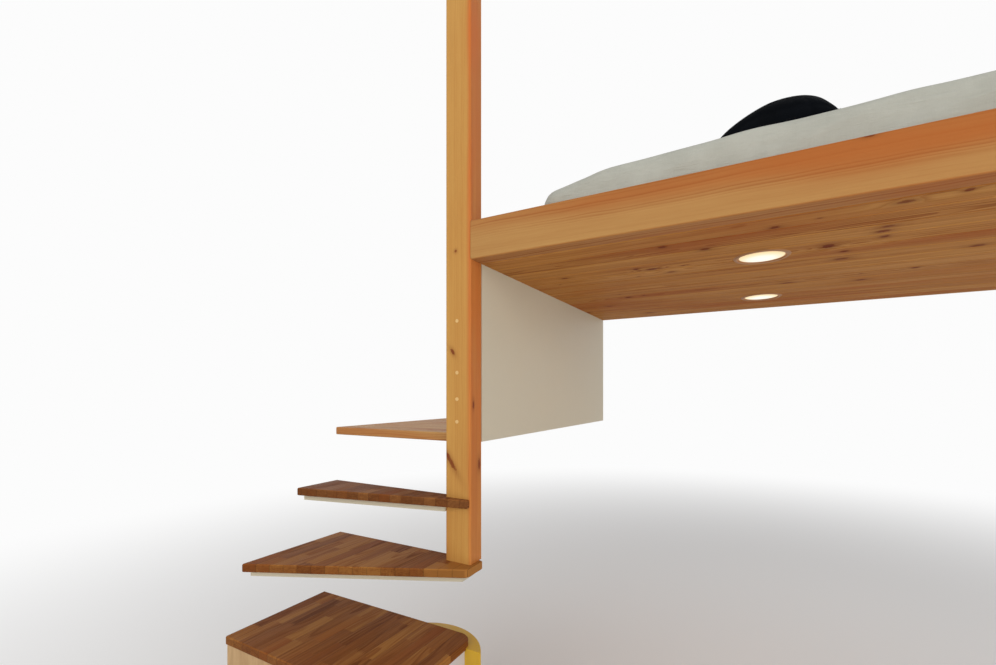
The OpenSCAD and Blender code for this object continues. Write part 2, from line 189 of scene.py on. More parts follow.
class Graph(Tree):
    """A material's node tree, which ends in one Principled shader."""

    def __init__(self, name: str) -> None:
        """Starts the material.

        Args:
            name: Name of the material.
        """
        self.material = bpy.data.materials.new(name)
        self.material.use_nodes = True
        super().__init__(self.material.node_tree)
        coordinates = self.add("ShaderNodeTexCoord")
        self.position = self.out(coordinates, "Object")
        self.cloth = self.out(coordinates, "UV")
        self.normal = self.out(self.add("ShaderNodeNewGeometry"), "Normal")

    def noise(self, vector: Signal, detail: float = 2.0, rough: float = 0.5, bend: float = 0.0) -> Signal:
        """Smooth noise whose features are about one unit long.

        Args:
            vector: Where the noise is read.
            detail: How many finer layers it has.
            rough: Strength of each finer layer.
            bend: How far the pattern is bent by itself.

        Returns:
            A number of about -0.5 to 0.5.
        """
        inputs = {"Vector": vector, "Scale": 1.0, "Detail": detail, "Roughness": rough, "Distortion": bend}
        return (self.out(self.add("ShaderNodeTexNoise", inputs)) - 0.5) * 2.4

    def grit(self, scale: float | Place, detail: float = 2.0, rough: float = 0.5, bend: float = 0.0,
             spot: Signal | None = None) -> Signal:
        """Noise fixed to the piece.

        Args:
            scale: How many features there are in a metre, along every axis or each one.
            detail: How many finer layers it has.
            rough: Strength of each finer layer.
            bend: How far the pattern is bent by itself.
            spot: Where it is read, if not at the point itself.

        Returns:
            A number of about -0.5 to 0.5.
        """
        scale = scale if isinstance(scale, tuple) else (scale,) * 3
        return self.noise(self.vector("MULTIPLY", spot or self.position, scale), detail, rough, bend)

    def none(self) -> Signal:
        """The number 0, as a signal."""
        return self.calc("ADD", 0.0, 0.0)

    def plain(self, colour: Colour) -> Signal:
        """Makes a signal of one colour.

        Args:
            colour: The screen colour.

        Returns:
            The signal.
        """
        node = self.add("ShaderNodeRGB")
        node.outputs[0].default_value = linear(colour)
        return self.out(node)

    def chances(self, *values: Value) -> list[Signal]:
        """Random numbers that are fixed by others.

        Args:
            *values: Up to three numbers.

        Returns:
            Three random numbers from 0 to 1.
        """
        x, y, z = (*values, 0.0, 0.0)[:3]
        node = self.add("ShaderNodeTexWhiteNoise", {"Vector": self.join(x, y, z)}, noise_dimensions="3D")
        return self.split(self.out(node, "Color"))

    def remap(self, value: Value, low: float, high: float, first: Value = 0.0, last: Value = 1.0) -> Signal:
        """Carries low to first and high to last in a smooth curve, and holds both ends."""
        inputs = {"Value": value, "From Min": low, "From Max": high, "To Min": first, "To Max": last}
        return self.out(self.add("ShaderNodeMapRange", inputs, interpolation_type="SMOOTHSTEP"))

    def bell(self, distance: Signal, width: float) -> Signal:
        """1 at no distance, falling to nothing a few widths away."""
        return self.calc("EXPONENT", self.calc("POWER", distance / width, 2.0) * -1.0)

    def ramp(self, factor: Signal, *colours: Colour) -> Signal:
        """A run of colours.

        Args:
            factor: Place along the run, from 0 to 1.
            *colours: Its screen colours, evenly spaced.

        Returns:
            The colour at that place.
        """
        node = self.add("ShaderNodeValToRGB", {0: factor})
        stops = node.color_ramp.elements
        for i, colour in enumerate(colours):
            place = i / (len(colours) - 1)
            stop = stops[0] if i == 0 else stops[-1] if place == 1.0 else stops.new(place)
            stop.position, stop.color = place, linear(colour)
        return self.out(node)

    def blend(self, factor: Value, first: Signal, second: Signal | Colour) -> Signal:
        """Mixes two colours.

        Args:
            factor: Share of the second colour.
            first: The first colour.
            second: The second colour, a signal or a screen colour.

        Returns:
            The mixed colour.
        """
        if not isinstance(second, Signal):
            second = linear(second)
        node = self.add("ShaderNodeMix", {0: factor, 6: first, 7: second}, data_type="RGBA")
        return self.out(node, 2)

    def shade(self, colour: Signal, factor: Value) -> Signal:
        """A colour made lighter or darker by a factor of about 1."""
        node = self.add("ShaderNodeVectorMath", {0: colour, "Scale": factor}, operation="SCALE")
        return self.out(node)

    def arris(self, start: float = 0.985, end: float = 0.8) -> Signal:
        """Finds the rounded edges between the three main directions.

        Args:
            start: The normal's largest part where an edge starts.
            end: The normal's largest part where it counts in full.

        Returns:
            1 on such an edge, 0 on flat faces.
        """
        sides = [self.calc("ABSOLUTE", part) for part in self.split(self.normal)]
        flat = self.calc("MAXIMUM", sides[0], self.calc("MAXIMUM", sides[1], sides[2]))
        return self.remap(flat, end, start, 1.0, 0.0)

    def finish(self, colour: Signal, roughness: Signal, height: Signal, relief: float,
               **fixed: object) -> bpy.types.Material:
        """Ends the tree in its shader.

        Args:
            colour: Base colour.
            roughness: Roughness.
            height: Relief of the surface, about -1 to 1.
            relief: Height in metres that one unit of it stands for.
            **fixed: Values set straight on the shader's sockets, with _ for a space in the name.

        Returns:
            The finished material.
        """
        bump = self.add("ShaderNodeBump", {"Height": height, "Distance": relief, "Strength": 1.0})
        inputs = {"Base Color": colour, "Roughness": roughness, "Normal": self.out(bump)}
        inputs.update({key.replace("_", " "): value for key, value in fixed.items()})
        shader = self.add("ShaderNodeBsdfPrincipled", inputs)
        self.add("ShaderNodeOutputMaterial", {"Surface": self.out(shader)})
        return self.material


class Grain(Enum):
    """Axis numbers along the grain, across the boards and through them."""

    X = (0, 1, 2)
    Y = (1, 0, 2)
    Z = (2, 0, 1)
    X_UPRIGHT = (0, 2, 1)
    Y_UPRIGHT = (1, 2, 0)


@dataclass(frozen=True)
class Knot:
    """One knot that stands in a known place.

    Attributes:
        place: Its X, Y and Z.
        size: Its half length along each axis.
        lean: How far it moves along X for each metre that it rises.
    """

    place: Place
    size: Place
    lean: float = 0.0


@dataclass(frozen=True)
class Band:
    """Plainer, paler side of a timber, and the redder rest of it. On the post this paints light: a paler lit front and
    a redder side face.

    Attributes:
        axis: Number of the axis across it.
        plain: Place where the timber is plainest.
        lively: Place where it is as lively as the rest.
        tone: How much paler it is.
        calm: Share of the rings' lines that it loses.
        warmth: How much redder the lively side is.
    """

    axis: int
    plain: float
    lively: float
    tone: float = 0.25
    calm: float = 0.7
    warmth: float = 0.3


@dataclass(frozen=True)
class Wood:
    """Clear-finished timber, drawn as growth rings round a pith.

    Attributes:
        name: Name of the material.
        grain: Which way the timber runs.
        tones: Screen colours from pale early wood to dark late wood.
        warm: Screen colour of its redder patches.
        ring: Width of one year's growth.
        contrast: Strength of the rings' lines.
        pith: Place of the pith, across and through.
        drift: How far the pith wanders along a piece.
        streak: Width of the broad streaks.
        streaks: Strength of the broad streaks.
        board: Width of a board or stave, or 0 where the piece is one timber.
        start: Place across where the first board starts.
        stave: Usual length of a stave, or 0 where boards run through.
        variety: How far the boards differ in tone.
        knots: Knots in known places.
        knot_share: Share of a board's 0.3 m lengths that hold a knot.
        band: Its plainer side, if it has one.
        gloss: Roughness of the finish.
        coat: Strength of its clear coat.
        shine: Strength of its plain reflection.
        relief: Height of its fibres and rings.
        seed: Number that sets its pattern apart.
    """

    name: str
    grain: Grain
    tones: tuple[Colour, ...]
    warm: Colour
    ring: float = 0.0042
    contrast: float = 0.5
    pith: tuple[float, float] = (0.0, 0.0)
    drift: float = 0.02
    streak: float = 0.02
    streaks: float = 0.55
    board: float = 0.0
    start: float = 0.0
    stave: float = 0.0
    variety: float = 0.0
    knots: tuple[Knot, ...] = ()
    knot_share: float = 0.0
    band: Band | None = None
    gloss: float = 0.5
    coat: float = 0.03
    shine: float = 0.14
    relief: float = 0.00035
    seed: float = 1.0

    def material(self) -> bpy.types.Material:
        """Draws the timber.

        Returns:
            The material.
        """
        g = Graph(self.name)
        along, across, through = (g.split(g.position)[i] for i in self.grain.value)
        row, cell, inside = self._boards(g, along, across)
        chance = g.chances(row, cell, self.seed)
        spot = g.vector("ADD", g.join(along, across, through), g.join(*(c * 9.0 for c in chance)))
        knot, halo, bulge = self._knots(g, along, inside, row)
        rings, year = self._rings(g, across, inside, through, spot, chance, bulge)
        streak = g.grit((1.3, 1 / self.streak, 1 / self.streak), 4.0, 0.62, spot=spot)
        fibre = g.grit((14.0, 620.0, 620.0), 3.0, 0.6, spot=spot)
        patch = g.grit((1.1, 7.0, 7.0), spot=spot)
        plain = self._plain(g, patch)
        depth = rings * self.contrast + streak * self.streaks + fibre * 0.16 + patch * 0.2 + 0.3
        depth = depth + (chance[1] - 0.5) * self.variety
        redness = g.remap(patch + (chance[2] - 0.5) * self.variety, -0.1, 0.6) * 0.6
        if self.band:
            lines = rings * self.contrast * self.band.calm + streak * self.streaks * 0.5
            depth = depth - plain * (lines + self.band.tone)
            redness = redness * (1.0 - plain * 0.7) + (1.0 - plain) * self.band.warmth
        colour = g.ramp(depth, *self.tones)
        colour = g.blend(redness, colour, self.warm)
        end = g.remap(g.calc("ABSOLUTE", g.split(g.normal)[self.grain.value[0]]), 0.6, 0.95)
        colour = g.blend(end * 0.36, colour, self.tones[-1])
        colour = g.blend(halo * 0.62, colour, self.tones[-1])
        core = tuple(part * share for part, share in zip(self.tones[-1], KNOT_CORE))
        colour = g.blend(knot * g.remap(fibre + year, -0.6, 0.9, 0.6, 0.92), colour, core)
        seam = self._seam(g, inside)
        colour = g.shade(colour, 1.0 - seam * 0.45 + g.arris() * 0.06 + fibre * 0.05)
        height = fibre * 0.35 - rings * 0.3 - seam * 1.5 + knot * 0.5
        roughness = g.remap(fibre + rings * 0.4 + patch * 0.6, -0.6, 0.9, self.gloss - 0.07, self.gloss + 0.12)
        return g.finish(colour, roughness, height, self.relief, Specular_IOR_Level=self.shine, Coat_Weight=self.coat,
                        Coat_Roughness=COAT_ROUGHNESS)

    def _plain(self, g: Graph, patch: Signal) -> Signal:
        """Finds the timber's plainer side.

        Args:
            g: The material's tree.
            patch: The broad patches, which make its border wander.

        Returns:
            1 on that side, 0 elsewhere, on the underside and where there is none.
        """
        if not self.band:
            return g.none()
        place = g.split(g.position)[self.band.axis]
        wander = patch * (self.band.lively - self.band.plain) * 0.5
        below = g.remap(g.split(g.normal)[2], -0.8, -0.4)
        return g.remap(place + wander, self.band.plain, self.band.lively, 1.0, 0.0) * below

    def _boards(self, g: Graph, along: Signal, across: Signal) -> tuple[Value, Value, Value]:
        """Finds the board or stave under a point.

        Args:
            g: The material's tree.
            along: Place along the grain.
            across: Place across the boards.

        Returns:
            The board's number, its stave's number, and the place across it from 0 to 1.
        """
        if not self.board:
            return 0.0, 0.0, 0.5
        place = (across - self.start) / self.board
        row = g.calc("FLOOR", place)
        if not self.stave:
            return row, 0.0, g.calc("FRACT", place)
        first = g.chances(row, self.seed + 3.0)
        run = along / self.stave + first[0] * 7.0
        run = run + g.calc("SINE", run * 2.3 + first[1] * 6.0) * 0.36
        fingers = g.calc("PINGPONG", across, 0.0035) * (3.0 / self.stave)
        return row, g.calc("FLOOR", run + fingers), g.calc("FRACT", place)

    def _seam(self, g: Graph, inside: Value) -> Value:
        """Draws the fine line between two glued staves.

        Args:
            g: The material's tree.
            inside: Place across one board, from 0 to 1.

        Returns:
            1 on the line, 0 elsewhere and where there is none.
        """
        if not self.stave:
            return g.none()
        edge = 0.5 - g.calc("ABSOLUTE", inside - 0.5)
        return g.remap(edge * self.board, 0.0002, 0.0011, 1.0, 0.0)

    def _rings(self, g: Graph, across: Signal, inside: Value, through: Signal, spot: Signal,
               chance: list[Signal], bulge: Value) -> tuple[Signal, Signal]:
        """Draws the growth rings.

        Args:
            g: The material's tree.
            across: Place across the boards.
            inside: Place across one board, from 0 to 1.
            through: Place through the boards.
            spot: The point, moved apart for each board.
            chance: The board's random numbers.
            bulge: How far knots push the rings out.

        Returns:
            The late wood's strength from 0 to 1, and the strength of that year from -0.5 to 0.5.
        """
        sway = g.grit((0.8, 0.0, 0.0), 1.0, spot=spot)
        lean = g.grit((1.7, 0.0, 0.0), spot=spot)
        if self.board:
            side = (inside - chance[0]) * self.board + sway * self.drift
            depth = through - self.pith[1] - (chance[2] - 0.5) * self.board + lean * self.drift
        else:
            side = across - self.pith[0] + sway * self.drift
            depth = through - self.pith[1] + lean * self.drift
        radius = g.reach(side, depth) + bulge
        radius = radius + g.grit((4.0, 30.0, 30.0), spot=spot) * 0.0022
        count = radius / self.ring + g.noise(g.join(radius * 60.0, self.seed, 0.0), 1.0)
        part = g.calc("FRACT", count)
        year = g.chances(g.calc("FLOOR", count), self.seed + 5.0)[0] - 0.5
        late = g.remap(part, 0.3, 0.86) * g.remap(part, 0.9, 1.0, 1.0, 0.0)
        return late * (year * 1.3 + 0.7), year

    def _knots(self, g: Graph, along: Signal, inside: Value, row: Value) -> tuple[Value, Value, Value]:
        """Draws the knots, those in known places and those at random.

        Args:
            g: The material's tree.
            along: Place along the grain.
            inside: Place across one board, from 0 to 1.
            row: The board's number.

        Returns:
            The knots' cores and halos, from 0 to 1, and how far they push the rings out.
        """
        core = halo = bulge = g.none()
        ragged = g.grit(160.0)
        for item in self.knots:
            x, y, z = g.split(g.vector("SUBTRACT", g.position, item.place))
            apart = g.vector("DIVIDE", g.join(x - z * item.lean, y, z), item.size)
            gap = g.out(g.add("ShaderNodeVectorMath", {0: apart}, operation="LENGTH"), "Value")
            core = g.calc("MAXIMUM", core, g.remap(gap + ragged * 0.5, 0.7, 1.15, 1.0, 0.0))
            halo = g.calc("MAXIMUM", halo, g.bell(gap, 1.7))
            bulge = bulge + g.bell(gap, 2.2) * 0.004
        for pitch, part, small, large in RANDOM_KNOTS if self.knot_share else ():
            run = along / pitch + g.chances(row, pitch, self.seed)[0] * 5.0
            spot = g.chances(row, g.calc("FLOOR", run), self.seed + pitch)
            kind = g.chances(g.calc("FLOOR", run), row, self.seed + 8.0)
            there = g.calc("LESS_THAN", kind[0], self.knot_share * part)
            far = (g.calc("FRACT", run) - (spot[0] * 0.5 + 0.25)) * pitch
            wide = (inside - (spot[1] * 0.6 + 0.2)) * self.board
            size = spot[2] * (large - small) + small
            spike = g.calc("GREATER_THAN", kind[1], 0.86) * 1.6 + 1.0
            gap = g.calc("SQRT", far * far * 0.28 + wide * wide / (spike * spike)) / size
            core = g.calc("MAXIMUM", core, g.remap(gap + ragged * 0.5, 0.75, 1.15, 1.0, 0.0) * there)
            halo = g.calc("MAXIMUM", halo, g.bell(gap, 2.0) * there)
            bulge = bulge + g.bell(gap, 3.0) * there * size
        return core, halo, bulge


@dataclass(frozen=True)
class Plywood:
    """Clear-finished plywood, with its layers on the cut edges.

    Attributes:
        name: Name of the material.
        thickness_axis: Number of the axis through the sheet.
        face: Place of one face on that axis.
        layer: Thickness of one layer.
        tones: Screen colours of the face, from pale to dark.
        edge_tones: Screen colours of the layers on a cut edge.
        coat: Strength of its clear coat.
        relief: Height of its fibres and layers.
    """

    name: str
    thickness_axis: int
    face: float
    layer: float = 0.0014
    tones: tuple[Colour, ...] = ((198, 164, 116), (182, 146, 98), (160, 122, 76))
    edge_tones: tuple[Colour, ...] = ((184, 148, 100), (134, 94, 56))
    coat: float = 0.1
    relief: float = 0.0003

    def material(self) -> bpy.types.Material:
        """Draws the plywood.

        Returns:
            The material.
        """
        g = Graph(self.name)
        through = g.split(g.position)[self.thickness_axis] - self.face
        flame = g.grit((5.0, 5.0, 1.6), 3.0, 0.55, 1.2)
        fibre = g.grit((420.0, 420.0, 16.0), 3.0, 0.6)
        band = g.calc("SINE", flame * 26.0 + g.grit((60.0, 60.0, 3.0)) * 3.0)
        depth = band * 0.16 + fibre * 0.3 + flame * 0.25 + 0.45
        colour = g.ramp(depth, *self.tones)
        edge = g.remap(g.calc("ABSOLUTE", g.split(g.normal)[self.thickness_axis]), 0.4, 0.8, 1.0, 0.0)
        ply = g.calc("PINGPONG", through / self.layer, 1.0)
        layers = g.ramp(g.remap(ply, 0.35, 0.65) + fibre * 0.3, *self.edge_tones)
        colour = g.blend(edge, colour, layers)
        roughness = g.remap(fibre, -0.5, 0.5, 0.42, 0.56)
        return g.finish(colour, roughness, fibre * 0.4 - ply * edge, self.relief, Coat_Weight=self.coat,
                        Coat_Roughness=COAT_ROUGHNESS)


@dataclass(frozen=True)
class Paint:
    """Painted timber.

    Attributes:
        name: Name of the material.
        colour: Screen colour.
        gloss: Roughness.
        stipple: Height of the roller's or brush's marks.
        brush: Stretch of the marks along X, Y and Z.
        wear: Screen colour that shows through on rubbed edges.
        worn: How much of it shows.
    """

    name: str
    colour: Colour
    gloss: float
    stipple: float = 0.00012
    brush: Place = (420.0, 420.0, 420.0)
    wear: Colour = (196, 176, 140)
    worn: float = 0.15

    def material(self) -> bpy.types.Material:
        """Draws the paint.

        Returns:
            The material.
        """
        g = Graph(self.name)
        marks = g.grit(self.brush, 3.0, 0.55)
        cloud = g.grit(2.6, 4.0, 0.6)
        scuff = g.grit((30.0, 30.0, 9.0), 5.0, 0.7, 0.6)
        light = 1.0 + cloud * 0.035 + marks * 0.02 - g.remap(scuff, 0.42, 0.7) * 0.07
        colour = g.shade(g.plain(self.colour), light)
        rub = g.arris(0.97, 0.75) * g.remap(scuff, -0.1, 0.4) * self.worn
        colour = g.blend(rub, colour, self.wear)
        roughness = g.remap(marks + cloud + scuff * 0.5, -0.9, 0.9, self.gloss - 0.06, self.gloss + 0.1)
        return g.finish(colour, roughness, marks + scuff * 0.4, self.stipple)


@dataclass(frozen=True)
class Cloth:
    """Woven cotton. Its pattern follows the piece's own UV map, in metres.

    Attributes:
        name: Name of the material.
        tones: Screen colours from the painted shade in the gaps between threads to the threads' crowns.
        thread: Width of one thread.
        gloss: Roughness.
        sheen: Strength of the sheen.
        shine: Strength of the plain reflection.
        wrinkles: How many fine wrinkles there are in a metre along X, Y and Z, drawn in the relief and as painted
            shade in the colour.
        depth: Depth of the wrinkles, where one unit is a thread's width.
    """

    name: str
    tones: tuple[Colour, ...]
    thread: float = 0.0009
    gloss: float = 0.85
    sheen: float = 0.2
    shine: float = 0.2
    wrinkles: Place = (34.0, 34.0, 34.0)
    depth: float = 0.9

    def material(self) -> bpy.types.Material:
        """Draws the cloth.

        Returns:
            The material.
        """
        g = Graph(self.name)
        u, v, _ = g.split(g.cloth)
        u, v = u / self.thread, v / self.thread
        over = g.calc("MODULO", g.calc("ABSOLUTE", g.calc("FLOOR", u) + g.calc("FLOOR", v)), 2.0)
        warp = g.calc("ABSOLUTE", g.calc("SINE", u * math.pi))
        weft = g.calc("ABSOLUTE", g.calc("SINE", v * math.pi))
        weave = warp * over + weft * (1.0 - over)
        slub = g.noise(g.join(u * 0.6, v * 0.02, 0.0), 2.0) + g.noise(g.join(u * 0.02, v * 0.6, 4.0), 2.0)
        cloud = g.grit(9.0, 4.0, 0.6)
        crease_and_shade = g.grit(self.wrinkles, 3.0, 0.6, 1.4)
        # Painted shade: the gaps between threads and the hollows of the fine wrinkles are drawn darker in the colour,
        # as well as in the relief.
        colour = g.ramp(weave * 0.4 + slub * 0.1 + cloud * 0.35 + crease_and_shade * 0.12 + 0.4, *self.tones)
        roughness = g.remap(weave + cloud, -0.3, 1.2, self.gloss, self.gloss + 0.1)
        height = weave * 0.15 + slub * 0.05 + crease_and_shade * self.depth
        return g.finish(colour, roughness, height, self.thread * 0.9, Sheen_Weight=self.sheen, Sheen_Roughness=0.4,
                        Specular_IOR_Level=self.shine)


@dataclass(frozen=True)
class Enamel:
    """Thin sprayed or anodised finish of a small metal part.

    Attributes:
        name: Name of the material.
        colour: Screen colour.
        gloss: Roughness.
        metal: 1 for bare metal, 0 for a sprayed finish.
        turned: Strength of fine turning lines round the middle.
        middle: X and Y of the part's middle.
        relief: Height of the turning lines and the finest grit.
    """

    name: str
    colour: Colour
    gloss: float
    metal: float = 0.0
    turned: float = 0.0
    middle: tuple[float, float] = (0.0, 0.0)
    relief: float = 0.00004

    def material(self) -> bpy.types.Material:
        """Draws the finish.

        Returns:
            The material.
        """
        g = Graph(self.name)
        x, y, z = g.split(g.position)
        radius = g.reach(x - self.middle[0], y - self.middle[1])
        line = g.noise(g.join(radius * 2600.0, z * 2600.0, 0.0)) * self.turned
        cloud = g.grit(24.0, 3.0)
        colour = g.shade(g.plain(self.colour), 1.0 + cloud * 0.05 + line * 0.12)
        roughness = g.remap(cloud + line, -0.6, 0.6, self.gloss - 0.06, self.gloss + 0.08)
        return g.finish(colour, roughness, line + g.grit(900.0) * 0.3, self.relief, Metallic=self.metal)


@dataclass(frozen=True)
class Glow:
    """Lit, frosted lens, white in the middle and warmer to its rim, with an outer band that glows tan as painted
    shade.

    Attributes:
        name: Name of the material.
        middle: X and Y of the lens's middle.
        radius: Radius of the lens.
        strength: Light given off.
        tones: Screen colours from its hottest place outwards.
        unlit: Brightness of its own surface, as a share of the light's.
        hot: How far behind its middle it is whitest.
        bezel: Width of the outer rim, which glows in a tan painted shade instead of the lamp's light.
        edge: Half the width in which the rim begins.
        painted_rim_glow: Screen colour of that rim, the tan of the shaded soffit round the lamp, which it glows in as
            painted shade.
        relief: Depth of the frosting.
    """

    name: str
    middle: tuple[float, float]
    radius: float
    strength: float = 0.8
    tones: tuple[Colour, ...] = ((255, 255, 248), (255, 255, 240), (253, 234, 188), (246, 212, 150))
    unlit: float = 0.35
    hot: float = 0.034
    bezel: float = 0.0085
    edge: float = 0.0015
    painted_rim_glow: Colour = (160, 108, 66)
    relief: float = 0.00008

    def material(self) -> bpy.types.Material:
        """Draws the lens.

        Returns:
            The material.
        """
        g = Graph(self.name)
        x, y, _ = g.split(g.position)
        x, y = x - self.middle[0], y - self.middle[1]
        lit = self.radius - self.bezel
        rim = g.remap(g.reach(x, y), lit - self.edge, lit + self.edge)
        radius = g.reach(x, y - self.hot) / (lit + self.hot)
        frost = g.grit(700.0, 3.0)
        light = g.ramp(radius + frost * 0.03, *self.tones)
        # Painted shade: the lens's outer rim glows in the tan of the shaded soffit, not in the lamp's light.
        light = g.blend(rim, light, self.painted_rim_glow)
        height = frost + g.calc("SINE", radius * 60.0) * 0.5
        roughness = g.remap(frost, -0.5, 0.5, 0.4, 0.55)
        base = g.shade(light, self.unlit)
        return g.finish(base, roughness, height, self.relief, Emission_Color=light, Emission_Strength=self.strength)


Finish = Wood | Plywood | Paint | Cloth | Enamel | Glow


class Pattern(Tree):
    """A Geometry Nodes tree with named sizes, which turns a few guide points or lines into small parts."""

    def __init__(self, name: str, **sizes: float | Place) -> None:
        """Starts the tree.

        Args:
            name: Name of the tree.
            **sizes: Its named inputs, with _ for a space, and their usual values.
        """
        self.group = bpy.data.node_groups.new(name, "GeometryNodeTree")
        super().__init__(self.group)
        face = self.group.interface
        face.new_socket("Geometry", in_out="OUTPUT", socket_type="NodeSocketGeometry")
        face.new_socket("Guide", in_out="INPUT", socket_type="NodeSocketGeometry")
        self.keys = {}
        for key, value in sizes.items():
            kind = "NodeSocketVector" if isinstance(value, tuple) else "NodeSocketFloat"
            socket = face.new_socket(key.replace("_", " "), in_out="INPUT", socket_type=kind)
            socket.default_value = value
            self.keys[key] = socket.identifier
        self.entry = self.add("NodeGroupInput")

    def size(self, key: str) -> Signal:
        """The signal of a named size."""
        return self.out(self.entry, key.replace("_", " "))

    def end(self, instances: Signal, material: bpy.types.Material) -> None:
        """Ends the tree by making its instances real and giving them a material.

        Args:
            instances: The tree's instances.
            material: Their material.
        """
        real = self.out(self.add("GeometryNodeRealizeInstances", {0: instances}))
        made = self.out(self.add("GeometryNodeSetMaterial", {"Geometry": real, "Material": material}))
        self.add("NodeGroupOutput", {0: made})

    def grow(self, name: str, slot: str, points: list[Vector], edges: list[tuple[int, int]] | None = None,
             **sizes: float | Place) -> bpy.types.Object:
        """Runs the tree on guide points or lines, and keeps the result as a plain mesh.

        Args:
            name: Name of the finished piece.
            slot: The record's material slot for it; not used.
            points: Guide points.
            edges: Pairs of points that are joined by a line.
            **sizes: Sizes that differ from the usual ones.

        Returns:
            The finished piece.
        """
        mesh = bpy.data.meshes.new(name)
        mesh.from_pydata([tuple(p) for p in points], edges or [], [])
        piece = placed(name, mesh)
        modifier = piece.modifiers.new(name, "NODES")
        modifier.node_group = self.group
        for key, value in sizes.items():
            modifier[self.keys[key]] = value
        piece.data = settled(piece, name)
        piece.modifiers.clear()
        attach(piece)
        return piece


def placed(name: str, data: bpy.types.ID) -> bpy.types.Object:
    """Puts a new object into the scene.

    Args:
        name: Name of the object.
        data: Its mesh, lamp or camera.

    Returns:
        The object.
    """
    thing = bpy.data.objects.new(name, data)
    bpy.context.collection.objects.link(thing)
    return thing


def settled(piece: bpy.types.Object, name: str) -> bpy.types.Mesh:
    """Applies a piece's modifiers.

    Args:
        piece: The piece, which keeps its own mesh.
        name: Name of the new mesh.

    Returns:
        A plain mesh of the piece as its modifiers leave it.
    """
    graph = bpy.context.evaluated_depsgraph_get()
    mesh = bpy.data.meshes.new_from_object(piece.evaluated_get(graph))
    mesh.name = name
    return mesh


def attach(piece: bpy.types.Object) -> None:
    """Lets a finished piece ride on the body.

    Args:
        piece: The piece.
    """
    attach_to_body(piece, BODY)
    log.info("made %s, %d faces", piece.name, len(piece.data.polygons))


def plugs_pattern() -> Pattern:
    """Round wooden plugs with eased rims, set in a timber's face at guide points.

    Returns:
        The pattern.
    """
    p = Pattern("plugs", Plug_Radius=0.0078, Plug_Rise=0.0009, Turn=(math.pi / 2, 0.0, 0.0))
    rise = p.size("Plug_Rise")
    head = p.out(p.add("GeometryNodeMeshCone", {
        "Vertices": 40, "Radius Top": p.size("Plug_Radius") - rise * 0.5, "Radius Bottom": p.size("Plug_Radius"),
        "Depth": rise}))
    places = p.out(p.add("GeometryNodeMeshToPoints", {"Mesh": p.out(p.entry, "Guide")}))
    instances = p.add("GeometryNodeInstanceOnPoints", {"Points": places, "Instance": head, "Rotation": p.size("Turn")})
    p.end(p.out(instances), MAPLE.material())
    return p


def screws_pattern() -> Pattern:
    """Countersunk screw heads with square sockets, set at guide points.

    Returns:
        The pattern.
    """
    p = Pattern("screws", Head_Radius=0.0042, Head_Rise=0.0005, Turn=(0.0, 0.0, 0.0))
    head = p.add("GeometryNodeObjectInfo", {"Object": screw_head()})
    places = p.out(p.add("GeometryNodeMeshToPoints", {"Mesh": p.out(p.entry, "Guide")}))
    radius = p.size("Head_Radius")
    instances = p.add("GeometryNodeInstanceOnPoints", {
        "Points": places, "Instance": p.out(head, "Geometry"), "Rotation": p.size("Turn"),
        "Scale": p.join(radius, radius, p.size("Head_Rise") * 2.0)})
    p.end(p.out(instances), ZINC.material())
    return p


def screw_head() -> bpy.types.Object:
    """Makes one screw's head, round outside, with a square socket in it.

    Returns:
        The head, of radius 1 and rise 0.5, outside the scene.
    """
    shape, turns = bmesh.new(), 16
    profile = ((1.0, -0.6, 0.0), (1.0, 0.1, 0.0), (0.86, 0.5, 0.0), (0.44, 0.5, 1.0), (0.36, -0.5, 1.0))
    rings = []
    for radius, rise, square in profile:
        ring = []
        for i in range(turns):
            angle = 2 * math.pi * i / turns
            flat = 1.0 / max(abs(math.cos(angle)), abs(math.sin(angle)))
            reach = radius * (1.0 + square * (flat - 1.0))
            ring.append(shape.verts.new((reach * math.cos(angle), reach * math.sin(angle), rise)))
        rings.append(ring)
    for first, second in zip(rings, rings[1:]):
        for i in range(turns):
            j = (i + 1) % turns
            shape.faces.new((first[i], first[j], second[j], second[i]))
    shape.faces.new(rings[-1])
    shape.faces.new(list(reversed(rings[0])))
    mesh = bpy.data.meshes.new("screw_head")
    shape.to_mesh(mesh)
    shape.free()
    return bpy.data.objects.new("screw_head", mesh)


def stitches_pattern(thread: bpy.types.Material) -> Pattern:
    """Short stitches in a row along guide lines.

    Args:
        thread: The thread's material.

    Returns:
        The pattern.
    """
    p = Pattern("stitches", Stitch_Length=0.0032, Stitch_Pitch=0.0048, Thread_Radius=0.00035)
    line = p.out(p.add("GeometryNodeMeshToCurve", {"Mesh": p.out(p.entry, "Guide")}))
    points = p.add("GeometryNodeCurveToPoints", {"Curve": line, "Length": p.size("Stitch_Pitch")}, mode="LENGTH")
    stitch = p.out(p.add("GeometryNodeMeshCylinder", {
        "Vertices": 6, "Radius": p.size("Thread_Radius"), "Depth": p.size("Stitch_Length")}))
    instances = p.add("GeometryNodeInstanceOnPoints", {
        "Points": p.out(points), "Instance": stitch, "Rotation": p.out(points, "Rotation")})
    p.end(p.out(instances), thread)
    return p


